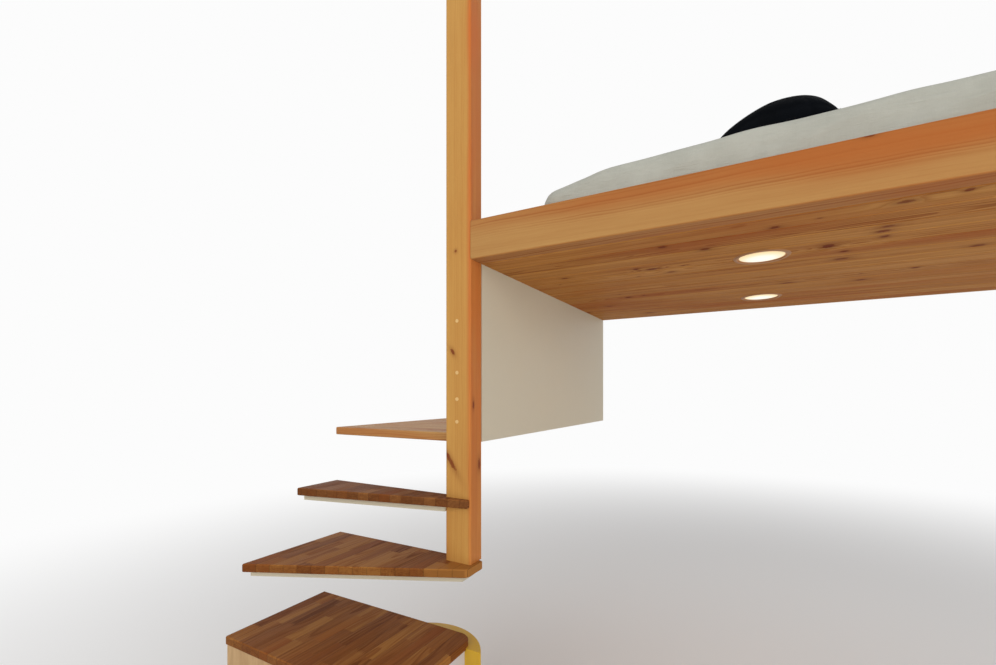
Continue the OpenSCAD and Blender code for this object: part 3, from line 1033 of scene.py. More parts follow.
@dataclass(frozen=True)
class Filling:
    """Air pressure that swells a sewn piece in a cloth simulation.

    Attributes:
        pressure: Strength of the pressure.
        frames: Length of the simulation.
        reach: Farthest that a point may move along X, Y and Z.
        stiffness: How little the cloth stretches.
        bending: How little it folds.
        weight: Mass of each point.
        drag: How strongly the air slows it.
        quality: Steps in one frame.
        inward: Share of a move inwards that is undone.
    """

    pressure: float = 4.0
    frames: int = 20
    reach: Place = (0.008, 0.008, 0.014)
    stiffness: float = 15.0
    bending: float = 0.6
    weight: float = 0.3
    drag: float = 2.0
    quality: int = 6
    inward: float = 0.9

    def run(self, piece: bpy.types.Object, held: list[int]) -> None:
        """Swells a piece and keeps the result in its mesh.

        Args:
            piece: The piece.
            held: Numbers of the points that stay where they are.
        """
        group = piece.vertex_groups.new(name="held")
        group.add(held, 1.0, "REPLACE")
        modifier = piece.modifiers.new("filling", "CLOTH")
        cloth = modifier.settings
        cloth.quality, cloth.mass, cloth.air_damping = self.quality, self.weight, self.drag
        cloth.tension_stiffness = cloth.compression_stiffness = self.stiffness
        cloth.shear_stiffness, cloth.bending_stiffness = self.stiffness * 0.5, self.bending
        cloth.use_pressure, cloth.uniform_pressure_force = True, self.pressure
        cloth.vertex_group_mass = group.name
        cloth.effector_weights.gravity = 0.0
        modifier.point_cache.frame_start, modifier.point_cache.frame_end = 1, self.frames
        scene = bpy.context.scene
        for frame_number in range(1, self.frames + 1):
            scene.frame_set(frame_number)
        moved = settled(piece, "swollen")
        piece.modifiers.clear()
        piece.vertex_groups.clear()
        largest = 0.0
        normals = [v.normal.copy() for v in piece.data.vertices]
        for point, new, normal in zip(piece.data.vertices, moved.vertices, normals):
            move = new.co - point.co
            largest = max(largest, move.length)
            move -= normal * min(0.0, move.dot(normal)) * self.inward
            point.co += Vector(limit * math.tanh(part / limit) for part, limit in zip(move, self.reach))
        bpy.data.meshes.remove(moved)
        scene.frame_set(1)
        log.info("filled %s, largest free move %.1f mm", piece.name, largest * 1000)


def sewn(name: str, shape: bmesh.types.BMesh, material: bpy.types.Material) -> bpy.types.Object:
    """Makes an object of a soft shape, with smooth faces.

    Args:
        name: Name of the object.
        shape: The shape, which is freed.
        material: Its material.

    Returns:
        The object.
    """
    mesh = bpy.data.meshes.new(name)
    shape.to_mesh(mesh)
    shape.free()
    mesh.materials.append(material)
    mesh.shade_smooth()
    return placed(name, mesh)


def refine(piece: bpy.types.Object) -> None:
    """Subdivides a soft piece once, closes its flat underside and turns its faces outwards.

    Args:
        piece: The piece.
    """
    modifier = piece.modifiers.new("finer", "SUBSURF")
    modifier.levels = modifier.render_levels = 1
    piece.data = settled(piece, piece.name)
    piece.modifiers.clear()
    shape = bmesh.new()
    shape.from_mesh(piece.data)
    rim = [edge for edge in shape.edges if edge.is_boundary]
    if rim:
        bmesh.ops.holes_fill(shape, edges=rim)
    bmesh.ops.recalc_face_normals(shape, faces=shape.faces)
    shape.to_mesh(piece.data)
    shape.free()


def lay_weave(mesh: bpy.types.Mesh) -> None:
    """Gives a mesh a UV map in metres, laid flat on each of its sides.

    Args:
        mesh: The mesh.
    """
    places = [tuple(v.co) for v in mesh.vertices]
    flat: list[float] = []
    for face in mesh.polygons:
        normal = [abs(part) for part in face.normal]
        axis = normal.index(max(normal))
        first, second = [i for i in range(3) if i != axis]
        for number in face.vertices:
            flat += (places[number][first], places[number][second])
    mesh.uv_layers.new(name="weave").uv.foreach_set("vector", flat)


def ridge(place: Vector) -> float:
    """Noise with narrow crests, from 0 to 1."""
    return max(0.0, 1.0 - 2.6 * abs(noise.noise(place)))


def dress(finish: Finish, *names: str) -> None:
    """Gives a finish to CAD nodes.

    Args:
        finish: The finish.
        *names: The nodes' names.
    """
    material = finish.material()
    for name in names:
        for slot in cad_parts[name].material_slots:
            slot.material = material
        log.info("dressed %s in %s", name, material.name)


FIR = Wood(
    name="oiled_fir", grain=Grain.X, tones=((206, 158, 84), (190, 136, 68), (170, 108, 50), (134, 72, 30)),
    warm=(176, 102, 50), ring=0.0046, contrast=0.4, streak=0.03, streaks=0.34)
PINE = Wood(
    name="knotty_pine", grain=Grain.X, tones=((200, 146, 79), (183, 126, 66), (164, 105, 53), (127, 71, 34)),
    warm=(166, 90, 46), ring=0.005, contrast=0.34, streak=0.012, streaks=0.62, variety=0.16, knot_share=0.3,
    coat=0.0, shine=0.02)
SPRUCE = Wood(
    name="planed_spruce", grain=Grain.Y, tones=((222, 190, 140), (206, 170, 118), (184, 142, 90), (150, 104, 58)),
    warm=(194, 146, 94), ring=0.0036, contrast=0.4, streaks=0.4, gloss=0.6, coat=0.0)
BLOCK = Wood(
    name="oiled_staves", grain=Grain.Y, tones=((166, 112, 54), (140, 86, 40), (114, 64, 28), (84, 46, 18)),
    warm=(142, 78, 34), ring=0.006, contrast=0.24, streak=0.009, streaks=0.42, board=0.043, stave=0.27,
    variety=0.5, gloss=0.52, coat=0.0, shine=0.07)
MAPLE = Wood(
    name="maple_plugs", grain=Grain.Z, tones=((232, 198, 138), (222, 184, 122), (206, 166, 102), (182, 140, 80)),
    warm=(216, 170, 106), ring=0.002, contrast=0.3, streaks=0.3)
ZINC = Enamel("zinc_screws", (196, 190, 172), 0.34, metal=1.0)


@dataclass(frozen=True)
class Lamp:
    """Large, soft lamp.

    Attributes:
        name: Its name.
        place: Where it stands.
        target: What it points at.
        size: Its width and height.
        power: Its power in watts.
        colour: Screen colour of its light.
    """

    name: str
    place: Place
    target: Place
    size: tuple[float, float]
    power: float
    colour: Colour = (255, 249, 242)

    def build(self) -> None:
        """Makes the lamp."""
        data = bpy.data.lights.new(self.name, "AREA")
        data.shape, data.size, data.size_y = "RECTANGLE", *self.size
        data.energy, data.color = self.power, linear(self.colour)[:3]
        lamp = placed(self.name, data)
        lamp.location = self.place
        lamp.rotation_euler = (Vector(self.target) - Vector(self.place)).to_track_quat("-Z", "Y").to_euler()


@dataclass
class Studio:
    """Camera, lamps, backdrop and floor.

    Attributes:
        floor: Level of the part's underside.
        place: Where the camera stands.
        turn: Its turn to the left, in degrees.
        lens: Its lens in millimetres.
        sensor: Width of its sensor in millimetres.
        shift: Its shift upwards, as a share of the frame's width.
        lamps: The lamps.
        sky: Screen colour of the light from all round.
        world: Strength of that light.
        ground: Screen colour of the floor.
        gap: How far the floor lies under the part.
        half: Half the floor's width.
        fade: Distances from the middle where the floor starts to fade and has faded.
    """

    floor: float
    place: Place = (-0.214, -2.830, -0.510)
    turn: float = 29.3
    lens: float = 16.85
    sensor: float = 36.0
    shift: float = 0.0607
    lamps: tuple[Lamp, ...] = (
        Lamp("key_light", (-1.0, -6.4, 1.2), (-0.2, -0.9, -0.3), (4.4, 3.2), 88.0),
        Lamp("fill_light", (4.2, -4.0, -0.2), (-0.4, -0.9, -0.4), (3.2, 2.8), 84.0))
    sky: Colour = (250, 250, 252)
    world: float = 0.56
    ground: Colour = (248, 247, 245)
    gap: float = 0.0005
    half: float = 30.0
    fade: tuple[float, float] = (1.6, 7.0)

    def build(self) -> None:
        """Makes the camera, the lamps, the world and the floor."""
        self._camera()
        for lamp in self.lamps:
            lamp.build()
        self._world()
        self._floor()
        bpy.context.scene.view_settings.view_transform = "Standard"

    def _camera(self) -> None:
        """Stands the camera at the photograph's place, level, with its lens."""
        camera = placed("camera", bpy.data.cameras.new("camera"))
        camera.location = self.place
        camera.rotation_euler = (math.pi / 2, 0.0, math.radians(self.turn))
        camera.data.sensor_width = self.sensor
        camera.data.lens = self.lens
        camera.data.shift_y = self.shift
        camera.data.clip_end = 2 * self.half
        bpy.context.scene.camera = camera

    def _world(self) -> None:
        """Lights the scene softly all round, and shows white behind it."""
        world = bpy.data.worlds.new("studio")
        world.use_nodes = True
        bpy.context.scene.world = world
        t = Tree(world.node_tree)
        path = t.add("ShaderNodeLightPath")
        seen = [t.out(path, name) for name in ("Is Camera Ray", "Is Glossy Ray", "Is Transmission Ray")]
        shown = t.calc("MAXIMUM", seen[0], t.calc("MAXIMUM", seen[1], seen[2]))
        lit = t.add("ShaderNodeBackground", {"Color": linear(self.sky), "Strength": self.world})
        back = t.add("ShaderNodeBackground", {"Color": linear(BACKDROP), "Strength": 1.0})
        both = t.add("ShaderNodeMixShader", {0: shown, 1: t.out(lit), 2: t.out(back)})
        t.add("ShaderNodeOutputWorld", {"Surface": t.out(both)})

    def _floor(self) -> None:
        """Makes a pale floor that keeps the shadows and fades into the backdrop far away."""
        mesh, half, level = bpy.data.meshes.new("floor"), self.half, self.floor - self.gap
        corners = [(-half, -half, level), (half, -half, level), (half, half, level), (-half, half, level)]
        mesh.from_pydata(corners, [], [(0, 1, 2, 3)])
        g = Graph("pale_floor")
        x, y, _ = g.split(g.position)
        matt = g.add("ShaderNodeBsdfDiffuse", {"Color": linear(self.ground)})
        white = g.add("ShaderNodeEmission", {"Color": linear(BACKDROP), "Strength": 1.0})
        camera_ray = g.out(g.add("ShaderNodeLightPath"), "Is Camera Ray")
        fade = g.remap(g.reach(x, y), *self.fade) * camera_ray
        both = g.add("ShaderNodeMixShader", {0: fade, 1: g.out(matt), 2: g.out(white)})
        g.add("ShaderNodeOutputMaterial", {"Surface": g.out(both)})
        mesh.materials.append(g.material)
        placed("floor", mesh)


@dataclass
class Post:
    """Hanging fir post, with round plugs over its bolts.

    Attributes:
        plug_radius: Radius of a plug.
        plug_in: Distance of the plugs from the post's left side.
        plug_levels: Height of each plug.
        plug_lift: How far a plug's foot stands off the post's face, so that the two never share a plane.
    """

    plug_radius: float = 0.0064
    plug_in: float = 0.0475
    plug_levels: tuple[float, ...] = (-0.265, -0.441, -0.531, -0.608)
    plug_lift: float = 0.0001

    def dress(self) -> None:
        """Finishes the post."""
        low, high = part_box("post")
        knots = (
            Knot((low.x + 0.020, low.y, -0.741), (0.0095, 0.03, 0.034), -0.63),
            Knot((high.x, -1.461, -0.755), (0.02, 0.007, 0.018)),
            Knot((low.x + 0.030, low.y, -0.369), (0.0065, 0.012, 0.011), -0.5),
            Knot((high.x, -1.4975, -0.550), (0.012, 0.005, 0.014)),
            Knot((low.x + 0.042, low.y, -0.027), (0.0045, 0.01, 0.005)),
        )
        # Painted light: this band and the orange warm colour make the post's front paler and its right side face
        # redder, as front light and warm side light fall on them.
        side = Band(0, high.x - 0.02, high.x - 0.001, tone=0.1, calm=0.75, warmth=0.5)
        wood = replace(
            FIR, name="oiled_fir_post", grain=Grain.Z, warm=(204, 112, 52), pith=(high.x + 0.03, high.y + 0.05),
            knots=knots, band=side, drift=0.008, contrast=0.34, seed=2.0)
        dress(wood, "post")

    def build(self) -> None:
        """Sets the plugs in the post's front face."""
        low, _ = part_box("post")
        places = [Vector((low.x + self.plug_in, low.y - self.plug_lift, level)) for level in self.plug_levels]
        plugs_pattern().grow("post_plugs", "fir", places, Plug_Radius=self.plug_radius)


@dataclass
class Loft:
    """Beam, joists, soffit and deck.

    Attributes:
        soffit_boards: Number of boards in the soffit.
        deck_boards: Number of boards in the deck.
        screw_line: X of the deck's screws, over its left joist.
        soffit_knots: X, Y and half length of the soffit's largest knots.
    """

    soffit_boards: int = 15
    deck_boards: int = 10
    screw_line: float = -1.09
    soffit_knots: tuple[tuple[float, float, float], ...] = (
        (0.139, -1.460, 0.019), (0.190, -1.426, 0.009), (0.085, -1.412, 0.012), (0.084, -1.184, 0.017),
        (0.099, -1.125, 0.012), (-0.178, -1.362, 0.012), (0.020, -1.008, 0.012), (-0.475, -1.333, 0.013),
        (-0.573, -1.465, 0.013), (-0.363, -1.247, 0.014), (-0.751, -0.626, 0.014), (0.363, -0.882, 0.018),
        (-0.604, -1.113, 0.011), (0.272, -0.648, 0.012))

    def dress(self) -> None:
        """Finishes the loft's timbers and boards."""
        low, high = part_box("front_beam")
        lower = Band(2, low.z + 0.04, high.z - 0.012, tone=0.1, calm=0.9, warmth=0.3)
        beam = replace(
            FIR, name="oiled_fir_beam", knots=(Knot((0.0, low.y, high.z - 0.003), (0.011, 0.01, 0.0035)),),
            tones=((190, 147, 89), (175, 127, 75), (156, 102, 58), (124, 70, 38)), coat=0.0, shine=0.05,
            pith=(high.y + 0.10, high.z + 0.16), band=lower, ring=0.0075, drift=0.016, contrast=0.5, seed=3.0)
        dress(beam, "front_beam")
        low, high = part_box("soffit")
        pitch = (high.y - low.y) / self.soffit_boards
        knots = tuple(Knot((x, y, low.z), (half, 0.008 + half * 0.25, 0.03)) for x, y, half in self.soffit_knots)
        boards = replace(
            PINE, name="knotty_pine_soffit", board=pitch, start=low.y, pith=(0.0, high.z + 0.03), knots=knots,
            knot_share=0.14, seed=4.0)
        dress(boards, "soffit")
        low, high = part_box("deck")
        pitch = (high.y - low.y) / self.deck_boards
        boards = replace(PINE, name="knotty_pine_deck", board=pitch, start=low.y, pith=(0.0, low.z - 0.04), seed=5.0)
        dress(boards, "deck")
        ledger = replace(SPRUCE, name="planed_spruce_ledger", grain=Grain.X, pith=(0.02, 0.08), seed=6.0)
        dress(ledger, "back_ledger")
        for i, name in enumerate(("left_rim_joist", *(f"joist_{n}" for n in range(1, 6)), "right_rim_joist")):
            low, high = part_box(name)
            joist = replace(SPRUCE, name=f"planed_spruce_{name}", pith=(low.x - 0.01, high.z + 0.02), seed=7.0 + i)
            dress(joist, name)

    def build(self) -> None:
        """Drives two screws through each deck board, over the joist that the bedding leaves bare."""
        low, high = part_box("deck")
        pitch = (high.y - low.y) / self.deck_boards
        rows = [low.y + pitch * (i + share) for i in range(self.deck_boards) for share in (0.25, 0.75)]
        places = [Vector((self.screw_line, y, high.z)) for y in rows]
        screws_pattern().grow("deck_screws", "light_can", places)


@dataclass
class Downlights:
    """Two round lamps let into the soffit.

    Attributes:
        names: The start of each lamp's node names.
    """

    names: tuple[str, ...] = ("front_light", "rear_light")

    def dress(self) -> None:
        """Finishes the rings, lenses and housings."""
        for name in self.names:
            low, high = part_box(f"{name}_lens")
            middle = ((low.x + high.x) / 2, (low.y + high.y) / 2)
            dress(Glow(f"{name}_glow", middle, (high.x - low.x) / 2), f"{name}_lens")
            # Painted shade: the white satin trim ring is given a tan-brown, as it looks in the shade of its own lamp.
            dress(Enamel(f"{name}_satin_ring", (172, 122, 76), 0.45, middle=middle), f"{name}_ring")
            dress(Enamel(f"{name}_spun_can", (172, 174, 178), 0.35, 1.0, 1.0, middle), f"{name}_can")


@dataclass
class SidePanel:
    """White framed panel between the stair and the space under the loft.

    Attributes:
        paint: Its paint, a white written darker and warmer as partly painted shade.
    """

    # Partly painted shade: the white paint is written as a darker, warmer cream, as it looks in warm, dim light.
    paint: Paint = Paint("white_panel_paint", (208, 200, 178), 0.5)

    def dress(self) -> None:
        """Finishes the panel's skins and frame."""
        dress(self.paint, "side_panel", "panel_stair_skin", "panel_frame")


@dataclass
class Stair:
    """Landing, two winders and the strips that carry them.

    Attributes:
        landing_board: Width of one of the landing's glued boards.
        left_screws: Number of screws in the landing's left cleat.
        back_screws: Number of screws in its back cleat.
        paint: The bearers' paint, a white written as a darker cream, partly painted shade.
    """

    landing_board: float = 0.145
    left_screws: int = 5
    back_screws: int = 3
    # Partly painted shade: the bearers' white paint is written as a darker cream, as they look in the shade under the
    # winders.
    paint: Paint = Paint("cream_bearer_paint", (204, 196, 172), 0.48)

    def dress(self) -> None:
        """Finishes the landing, the winders and their bearers."""
        low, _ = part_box("landing")
        landing = replace(
            FIR, name="oiled_fir_landing", board=self.landing_board, start=low.y, pith=(0.0, low.z - 0.05),
            variety=0.35, seed=20.0, tones=((200, 158, 98), (185, 138, 82), (166, 112, 64), (132, 78, 42)))
        dress(landing, "landing")
        left = replace(SPRUCE, name="planed_spruce_left_cleat", pith=(-1.76, -0.75), seed=21.0)
        dress(left, "landing_left_cleat")
        back = replace(SPRUCE, name="planed_spruce_back_cleat", grain=Grain.X, pith=(0.02, -0.75), seed=22.0)
        dress(back, "landing_back_cleat")
        low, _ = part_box("upper_winder")
        upper = replace(
            BLOCK, name="oiled_staves_upper_winder", start=low.x, pith=(0.0, low.z - 0.03), seed=23.0,
            tones=((154, 102, 54), (130, 80, 41), (108, 63, 31), (80, 45, 21)), variety=0.42)
        dress(upper, "upper_winder")
        low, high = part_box("lower_winder")
        tip = Band(0, high.x - 0.04, high.x - 0.15, tone=0.6, calm=0.2, warmth=0.0)
        lower = replace(
            BLOCK, name="oiled_staves_lower_winder", start=low.x, pith=(0.0, low.z - 0.03), band=tip, seed=24.0)
        dress(lower, "lower_winder")
        dress(self.paint, "upper_bearer", "lower_bearer")

    def build(self) -> None:
        """Drives the screws that hold the landing's cleats."""
        low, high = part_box("landing_left_cleat")
        middle, count = (low.z + high.z) / 2, self.left_screws
        places = [Vector((high.x, low.y + (high.y - low.y) * (i + 0.5) / count, middle)) for i in range(count)]
        screws_pattern().grow("left_cleat_screws", "light_can", places, Turn=(0.0, math.pi / 2, 0.0))
        low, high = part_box("landing_back_cleat")
        count = self.back_screws
        places = [Vector((low.x + (high.x - low.x) * (i + 0.5) / count, low.y, middle)) for i in range(count)]
        screws_pattern().grow("back_cleat_screws", "light_can", places, Turn=(math.pi / 2, 0.0, 0.0))


@dataclass
class BaseSteps:
    """Floor-standing steps, with plywood sides, white risers and a yellow bent end.

    Attributes:
        steps: Number of steps.
        sides: Each plywood side, with the number of the axis through it.
        white: The risers' paint.
        yellow: The bent end's paint.
    """

    steps: int = 3
    sides: tuple[tuple[str, int], ...] = (
        ("front_side", 1), ("low_rear_side", 1), ("base_rear_side", 1), ("base_wall_side", 0))
    white: Paint = Paint("white_riser_paint", (218, 216, 220), 0.45)
    yellow: Paint = Paint(
        "yellow_end_paint", (214, 172, 44), 0.36, stipple=0.0001, brush=(40.0, 40.0, 420.0), wear=(214, 190, 120),
        worn=0.3)

    def dress(self) -> None:
        """Finishes the step tops, risers, sides and bent end."""
        for i in range(self.steps):
            name = f"step_{i + 1}_top"
            low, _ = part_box(name)
            staves = replace(BLOCK, name=f"oiled_staves_{name}", start=low.x, pith=(0.0, low.z - 0.03), seed=30.0 + i)
            dress(staves, name)
        dress(self.white, *(f"riser_{i + 1}" for i in range(self.steps)))
        for name, axis in self.sides:
            dress(Plywood(f"birch_{name}", axis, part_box(name)[0][axis]), name)
        dress(self.yellow, "curved_end", "curved_cap", "curved_foot", "curved_stile")


# Painted shade: the white cotton sheet is given grey tones, as it looks in the shade of the loft.
SHEET_IN_PAINTED_SHADE = Cloth("white_cotton_sheet", ((158, 160, 150), (180, 182, 172), (196, 198, 188)), sheen=0.03,
              wrinkles=(6.0, 26.0, 30.0), depth=2.6)
DARK_COTTON = Cloth("dark_cotton", ((2, 3, 5), (5, 7, 10), (11, 15, 21)), thread=0.0007, gloss=0.9, sheen=0.0,
                    shine=0.06)
DARK_THREAD = Paint("dark_thread", (16, 20, 24), 0.8, brush=(3000.0, 3000.0, 3000.0), wear=(30, 34, 38))


@dataclass
class Mattress:
    """Mattress in a white fitted sheet, which falls away and rounds over at its left end.

    Attributes:
        start: X of its left end.
        end: X of its right end.
        front: Y of its front side.
        back: Y of its back side.
        height: Full height.
        left_falls: How its top falls away at the left end, each as a share of the height and a reach.
        right_fall: The same at the right end.
        edge: Radius of its upper edge.
        corner: Radius of its corners, seen from above.
        cell: Size of one mesh face.
        gather: Height of the sheet's gathers low on the sides.
        drape: Height of its long, slanting folds.
        wave: Height of its broad waves.
        fold: Height of the folds that run into the corners.
        fold_reach: How far from a corner they run.
        tuck: How far the whole sheet is drawn in to leave room for them.
        filling: The air that fills it before it is creased.
        piece: The finished piece, once it is built.
    """

    start: float = -0.8445
    end: float = 1.043
    front: float = -1.437
    back: float = -0.085
    height: float = 0.119
    left_falls: tuple[tuple[float, float], ...] = ((0.25, 0.17), (0.23, 0.21))
    right_fall: tuple[float, float] = (0.3, 0.05)
    edge: float = 0.030
    corner: float = 0.046
    cell: float = 0.015
    gather: float = 0.0055
    drape: float = 0.0045
    wave: float = 0.0020
    fold: float = 0.0060
    fold_reach: float = 0.17
    tuck: float = 0.0012
    filling: Filling = Filling(pressure=4.0, reach=(0.004, 0.004, 0.010))
    piece: bpy.types.Object | None = None

    def _level(self, x: float) -> float:
        """Finds how high the top lies, which falls away at both ends.

        Args:
            x: Place along the mattress.

        Returns:
            Height over the deck.
        """
        left, right = max(x - self.start, 0.0), max(self.end - x, 0.0)
        falls = [(share, left / reach) for share, reach in self.left_falls]
        falls.append((self.right_fall[0], right / self.right_fall[1]))
        return self.height * (1.0 - sum(share * math.exp(-far) for share, far in falls))

    def _plan(self, x: float, y: float) -> tuple[Vector, Vector]:
        """Rounds the corners of the flat top.

        Args:
            x: Place in the square-cornered top.
            y: Place in the square-cornered top.

        Returns:
            Place in the round-cornered top, and the direction out of its outline there.
        """
        radius, inner = self.corner - self.edge, self.corner
        centre = Vector((
            min(max(x, self.start + inner), self.end - inner), min(max(y, self.front + inner), self.back - inner)))
        u, v = (x - centre.x) / radius, (y - centre.y) / radius
        place = centre + Vector((u * math.sqrt(1 - v * v / 2), v * math.sqrt(1 - u * u / 2))) * radius
        out = place - centre
        return place, out.normalized() if out.length > 1e-6 else Vector((0.0, 0.0))

    def _rings(self) -> list[tuple[float, float, float]]:
        """Lists the rows of points down the side.

        Returns:
            Each row's distance out, share of the upper edge's drop, and share of the side's height.
        """
        turns = [math.radians(15 * i) for i in range(1, 7)]
        rows = [(self.edge * math.sin(t), 1 - math.cos(t), 1.0) for t in turns]
        rows += [(self.edge, 1.0, 1.0 - 0.2 * i) for i in range(1, 5)]
        return rows + [(self.edge - 0.001, 1.0, 0.08), (self.edge - 0.006, 1.0, 0.02), (self.edge - 0.014, 1.0, 0.0)]

    def _shape(self) -> tuple[bmesh.types.BMesh, list[int]]:
        """Makes the shape before it is filled, open below.

        Returns:
            The shape, and the numbers of the points on the deck.
        """
        shape = bmesh.new()
        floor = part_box("mattress")[0].z + 0.0003
        wide, deep = self.end - self.start - 2 * self.edge, self.back - self.front - 2 * self.edge
        across, along = round(wide / self.cell), round(deep / self.cell)
        top, outs = {}, {}
        for i in range(across + 1):
            for j in range(along + 1):
                x = self.start + self.edge + wide * i / across
                y = self.front + self.edge + deep * j / along
                place, outs[i, j] = self._plan(x, y)
                top[i, j] = shape.verts.new((place.x, place.y, floor + self._level(place.x)))
        for i in range(across):
            for j in range(along):
                shape.faces.new((top[i, j], top[i + 1, j], top[i + 1, j + 1], top[i, j + 1]))
        loop = [(i, 0) for i in range(across)] + [(across, j) for j in range(along)]
        loop += [(i, along) for i in range(across, 0, -1)] + [(0, j) for j in range(along, 0, -1)]
        last = [top[key] for key in loop]
        for out, drop, share in self._rings():
            ring = []
            for key in loop:
                place = top[key].co.xy + outs[key] * out
                level = self._level(place.x)
                bend = min(self.edge, 0.6 * level)
                side = (level - bend) * share if drop == 1.0 else level - bend * drop
                ring.append(shape.verts.new((place.x, place.y, floor + side)))
            for i in range(len(loop)):
                j = (i + 1) % len(loop)
                shape.faces.new((last[i], ring[i], ring[j], last[j]))
            last = ring
        shape.verts.index_update()
        held = [v.index for v in shape.verts if v.co.z < floor + 0.004]
        return shape, held

    def _crease(self, mesh: bpy.types.Mesh) -> None:
        """Moves the points of the filled shape into the sheet's soft folds.

        Args:
            mesh: The filled shape.
        """
        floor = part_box("mattress")[0].z
        corners = [Vector((x, y, 0.0)) for x in (self.start, self.end) for y in (self.front, self.back)]
        normals = [v.normal.copy() for v in mesh.vertices]
        for point, normal in zip(mesh.vertices, normals):
            p, level = point.co.copy(), self._level(point.co.x)
            rise = min(max((p.z - floor) / level, 0.0), 1.0)
            upright = 1.0 - abs(normal.z)
            free = min(1.0, max(0.0, (p.z - floor) / 0.012))
            run = p.x + p.y
            gather = ridge(Vector((run * 13.0, p.z * 5.0, 3.0))) ** 2 * (1.0 - rise) * upright * self.gather
            drape = ridge(Vector(((p.x * 0.8 - p.z * 2.6) * 5.0, p.y * 3.0, 7.0))) ** 2 * self.drape
            wave = noise.noise(Vector((p.x * 2.6, p.y * 2.6, 1.0))) * self.wave
            folds = 0.0
            for corner in corners:
                away = Vector((p.x - corner.x, p.y - corner.y, (p.z - floor - level) * 0.8))
                angle = math.atan2(away.y, away.x) + away.z * 6.0
                near = math.exp(-(away.length / self.fold_reach) ** 2) * (0.25 + 0.75 * upright)
                folds += near * ridge(Vector((angle * 2.1, away.length * 2.5, corner.x + corner.y))) ** 2 * self.fold
            point.co += normal * (gather + drape + wave + folds - self.tuck) * free

    def build(self) -> None:
        """Makes the mattress in its sheet."""
        shape, held = self._shape()
        piece = sewn("mattress_in_sheet", shape, SHEET_IN_PAINTED_SHADE.material())
        self.filling.run(piece, held)
        refine(piece)
        self._crease(piece.data)
        lay_weave(piece.data)
        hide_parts("mattress")
        attach(piece)
        self.piece = piece

    def level_under(self, low: Vector, high: Vector) -> float:
        """Measures the finished top.

        Args:
            low: One corner of a rectangle, seen from above.
            high: The opposite corner.

        Returns:
            Mean height of the top inside it.
        """
        inside = [
            v.co.z for v in self.piece.data.vertices
            if low.x < v.co.x < high.x and low.y < v.co.y < high.y and v.normal.z > 0.9]
        return sum(inside) / len(inside)


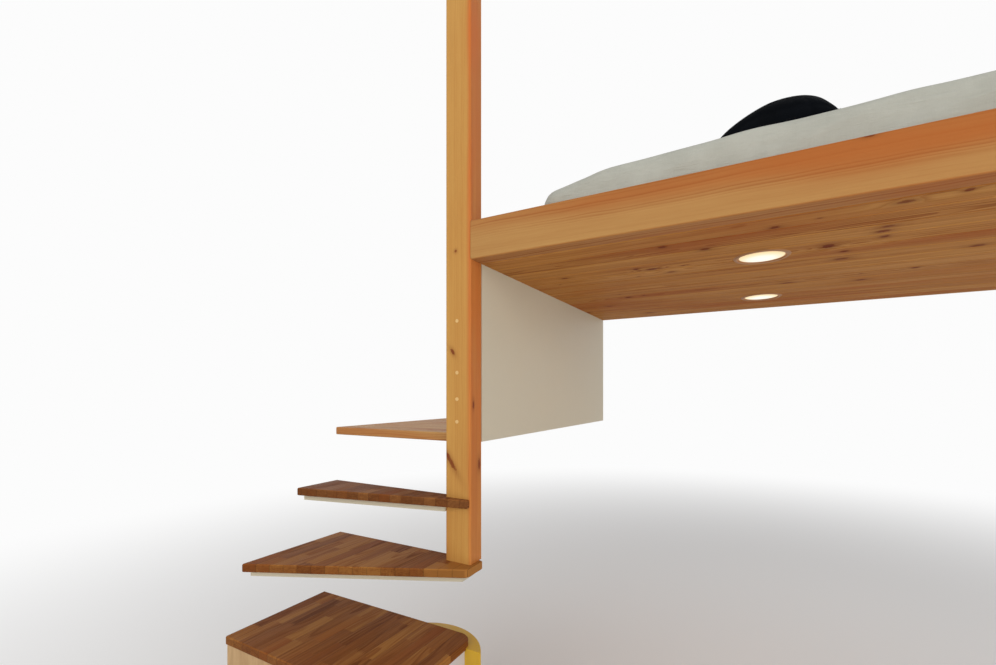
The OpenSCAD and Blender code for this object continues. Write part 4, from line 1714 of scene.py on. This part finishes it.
@dataclass
class Pillow:
    """Dark pillow of two sheets sewn round the rim, lying flat near the mattress's front.

    Attributes:
        middle: X and Y of its middle.
        turn: Turn from above, in degrees.
        half: Half its width and depth as it lies.
        thickness: Full thickness.
        seam: Height of its seam as a share of the thickness.
        bulge: Power of its crown's curve, lower for a fuller pillow.
        pull: How far its sides pull in between the corners.
        cells: Mesh faces across and along.
        soft: Height under which it flattens against the mattress.
        pucker: Depth of the puckers beside the seam.
        rumple: Height of the broad creases.
        stitch_line: Place of the stitches, across and along, as a share of the seam's.
        stitch_rise: How far they lie above the seam.
        filling: The air that fills it.
    """

    middle: tuple[float, float] = (-0.157, -1.215)
    turn: float = -12.8
    half: tuple[float, float] = (0.160, 0.153)
    thickness: float = 0.136
    seam: float = 0.22
    bulge: float = 0.62
    pull: float = 0.09
    cells: tuple[int, int] = (50, 48)
    soft: float = 0.006
    pucker: float = 0.010
    rumple: float = 0.0030
    stitch_line: tuple[float, float] = (0.985, 0.98)
    stitch_rise: float = 0.003
    filling: Filling = Filling(pressure=5.0, reach=(0.006, 0.006, 0.007), bending=0.2)

    def _point(self, a: float, b: float, side: float) -> Vector:
        """A point of one sheet.

        Args:
            a: Place across, from -1 to 1.
            b: Place along, from -1 to 1.
            side: 1 on the upper sheet, -1 on the lower one.

        Returns:
            The point, over the middle of the pillow's underside.
        """
        x = a * self.half[0] * (1.0 - self.pull * (1.0 - b * b) * a * a)
        y = b * self.half[1] * (1.0 - self.pull * (1.0 - a * a) * b * b)
        full = max(0.0, (1.0 - a * a) * (1.0 - b * b))
        seam = self.seam * (1.0 - 0.95 * (a * b) ** 2)
        z = seam + ((1.0 - self.seam) * full ** self.bulge if side > 0 else -(self.seam + 0.1) * full ** 0.45)
        return Vector((x, y, z * self.thickness))

    def _settle(self, z: float) -> float:
        """Flattens the underside softly on the mattress."""
        return z if z > self.soft else self.soft * math.exp((z - self.soft) / self.soft)

    def build(self, rest: float) -> None:
        """Makes the pillow and the stitches beside its seam.

        Args:
            rest: Height of what it lies on.
        """
        across, along = self.cells
        shape, sheets = bmesh.new(), {}
        for side in (1.0, -1.0):
            for i in range(across + 1):
                for j in range(along + 1):
                    rim = i in (0, across) or j in (0, along)
                    if rim and side < 0:
                        sheets[side, i, j] = sheets[1.0, i, j]
                        continue
                    a, b = (math.sin(math.pi / 2 * (2 * k / n - 1)) for k, n in ((i, across), (j, along)))
                    sheets[side, i, j] = shape.verts.new(self._point(a, b, side))
            for i in range(across):
                for j in range(along):
                    face = [sheets[side, i + m, j + n] for m, n in ((0, 0), (1, 0), (1, 1), (0, 1))]
                    shape.faces.new(face if side > 0 else face[::-1])
        shape.verts.index_update()
        rim = [sheets[1.0, i, 0].index for i in range(across)] + [sheets[1.0, across, j].index for j in range(along)]
        rim += [sheets[1.0, i, along].index for i in range(across, 0, -1)]
        rim += [sheets[1.0, 0, j].index for j in range(along, 0, -1)]
        piece = sewn("pillow_dark", shape, DARK_COTTON.material())
        self.filling.run(piece, [rim[0]])
        seam = [piece.data.vertices[i].co.copy() for i in rim]
        refine(piece)
        for point, normal in zip(piece.data.vertices, [v.normal.copy() for v in piece.data.vertices]):
            p = point.co
            out = max(abs(p.x) / self.half[0], abs(p.y) / self.half[1])
            around = math.atan2(p.y / self.half[1], p.x / self.half[0])
            pucker = ridge(Vector((around * 5.0, out * 1.5, 2.0))) ** 2 * max(0.0, out - 0.45) ** 1.5 * self.pucker
            rumple = noise.noise(p * 11.0) * self.rumple
            point.co = p + normal * (rumple - pucker)
        turned = math.radians(self.turn)
        for point in piece.data.vertices:
            point.co = self._place(point.co, turned, rest)
        lay_weave(piece.data)
        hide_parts("pillow")
        attach(piece)
        wide, deep = self.stitch_line
        guide = [self._place(Vector((p.x * wide, p.y * deep, p.z + self.stitch_rise)), turned, rest) for p in seam]
        edges = [(i, (i + 1) % len(guide)) for i in range(len(guide))]
        stitches_pattern(DARK_THREAD.material()).grow("pillow_stitches", "dark_fabric", guide, edges)

    def _place(self, p: Vector, turned: float, rest: float) -> Vector:
        """Carries a point of the pillow to its place on the mattress.

        Args:
            p: The point, over the middle of the pillow's underside.
            turned: The pillow's turn from above.
            rest: Height of the mattress's top.

        Returns:
            The point in its place.
        """
        x = p.x * math.cos(turned) - p.y * math.sin(turned) + self.middle[0]
        y = p.x * math.sin(turned) + p.y * math.cos(turned) + self.middle[1]
        return Vector((x, y, rest + self._settle(p.z)))


def main() -> None:
    """Builds the studio and every part of the loft and stair, in order."""
    logging.basicConfig(level=logging.INFO, format="%(name)s: %(message)s")
    Studio(cad_box[0].z).build()
    for piece in (Post(), Loft(), Stair()):
        piece.dress()
        piece.build()
    for piece in (Downlights(), SidePanel(), BaseSteps()):
        piece.dress()
    mattress = Mattress()
    mattress.build()
    pillow = Pillow()
    low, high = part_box("pillow")
    pillow.build(mattress.level_under(low, high))


if __name__ == "__main__":
    main()
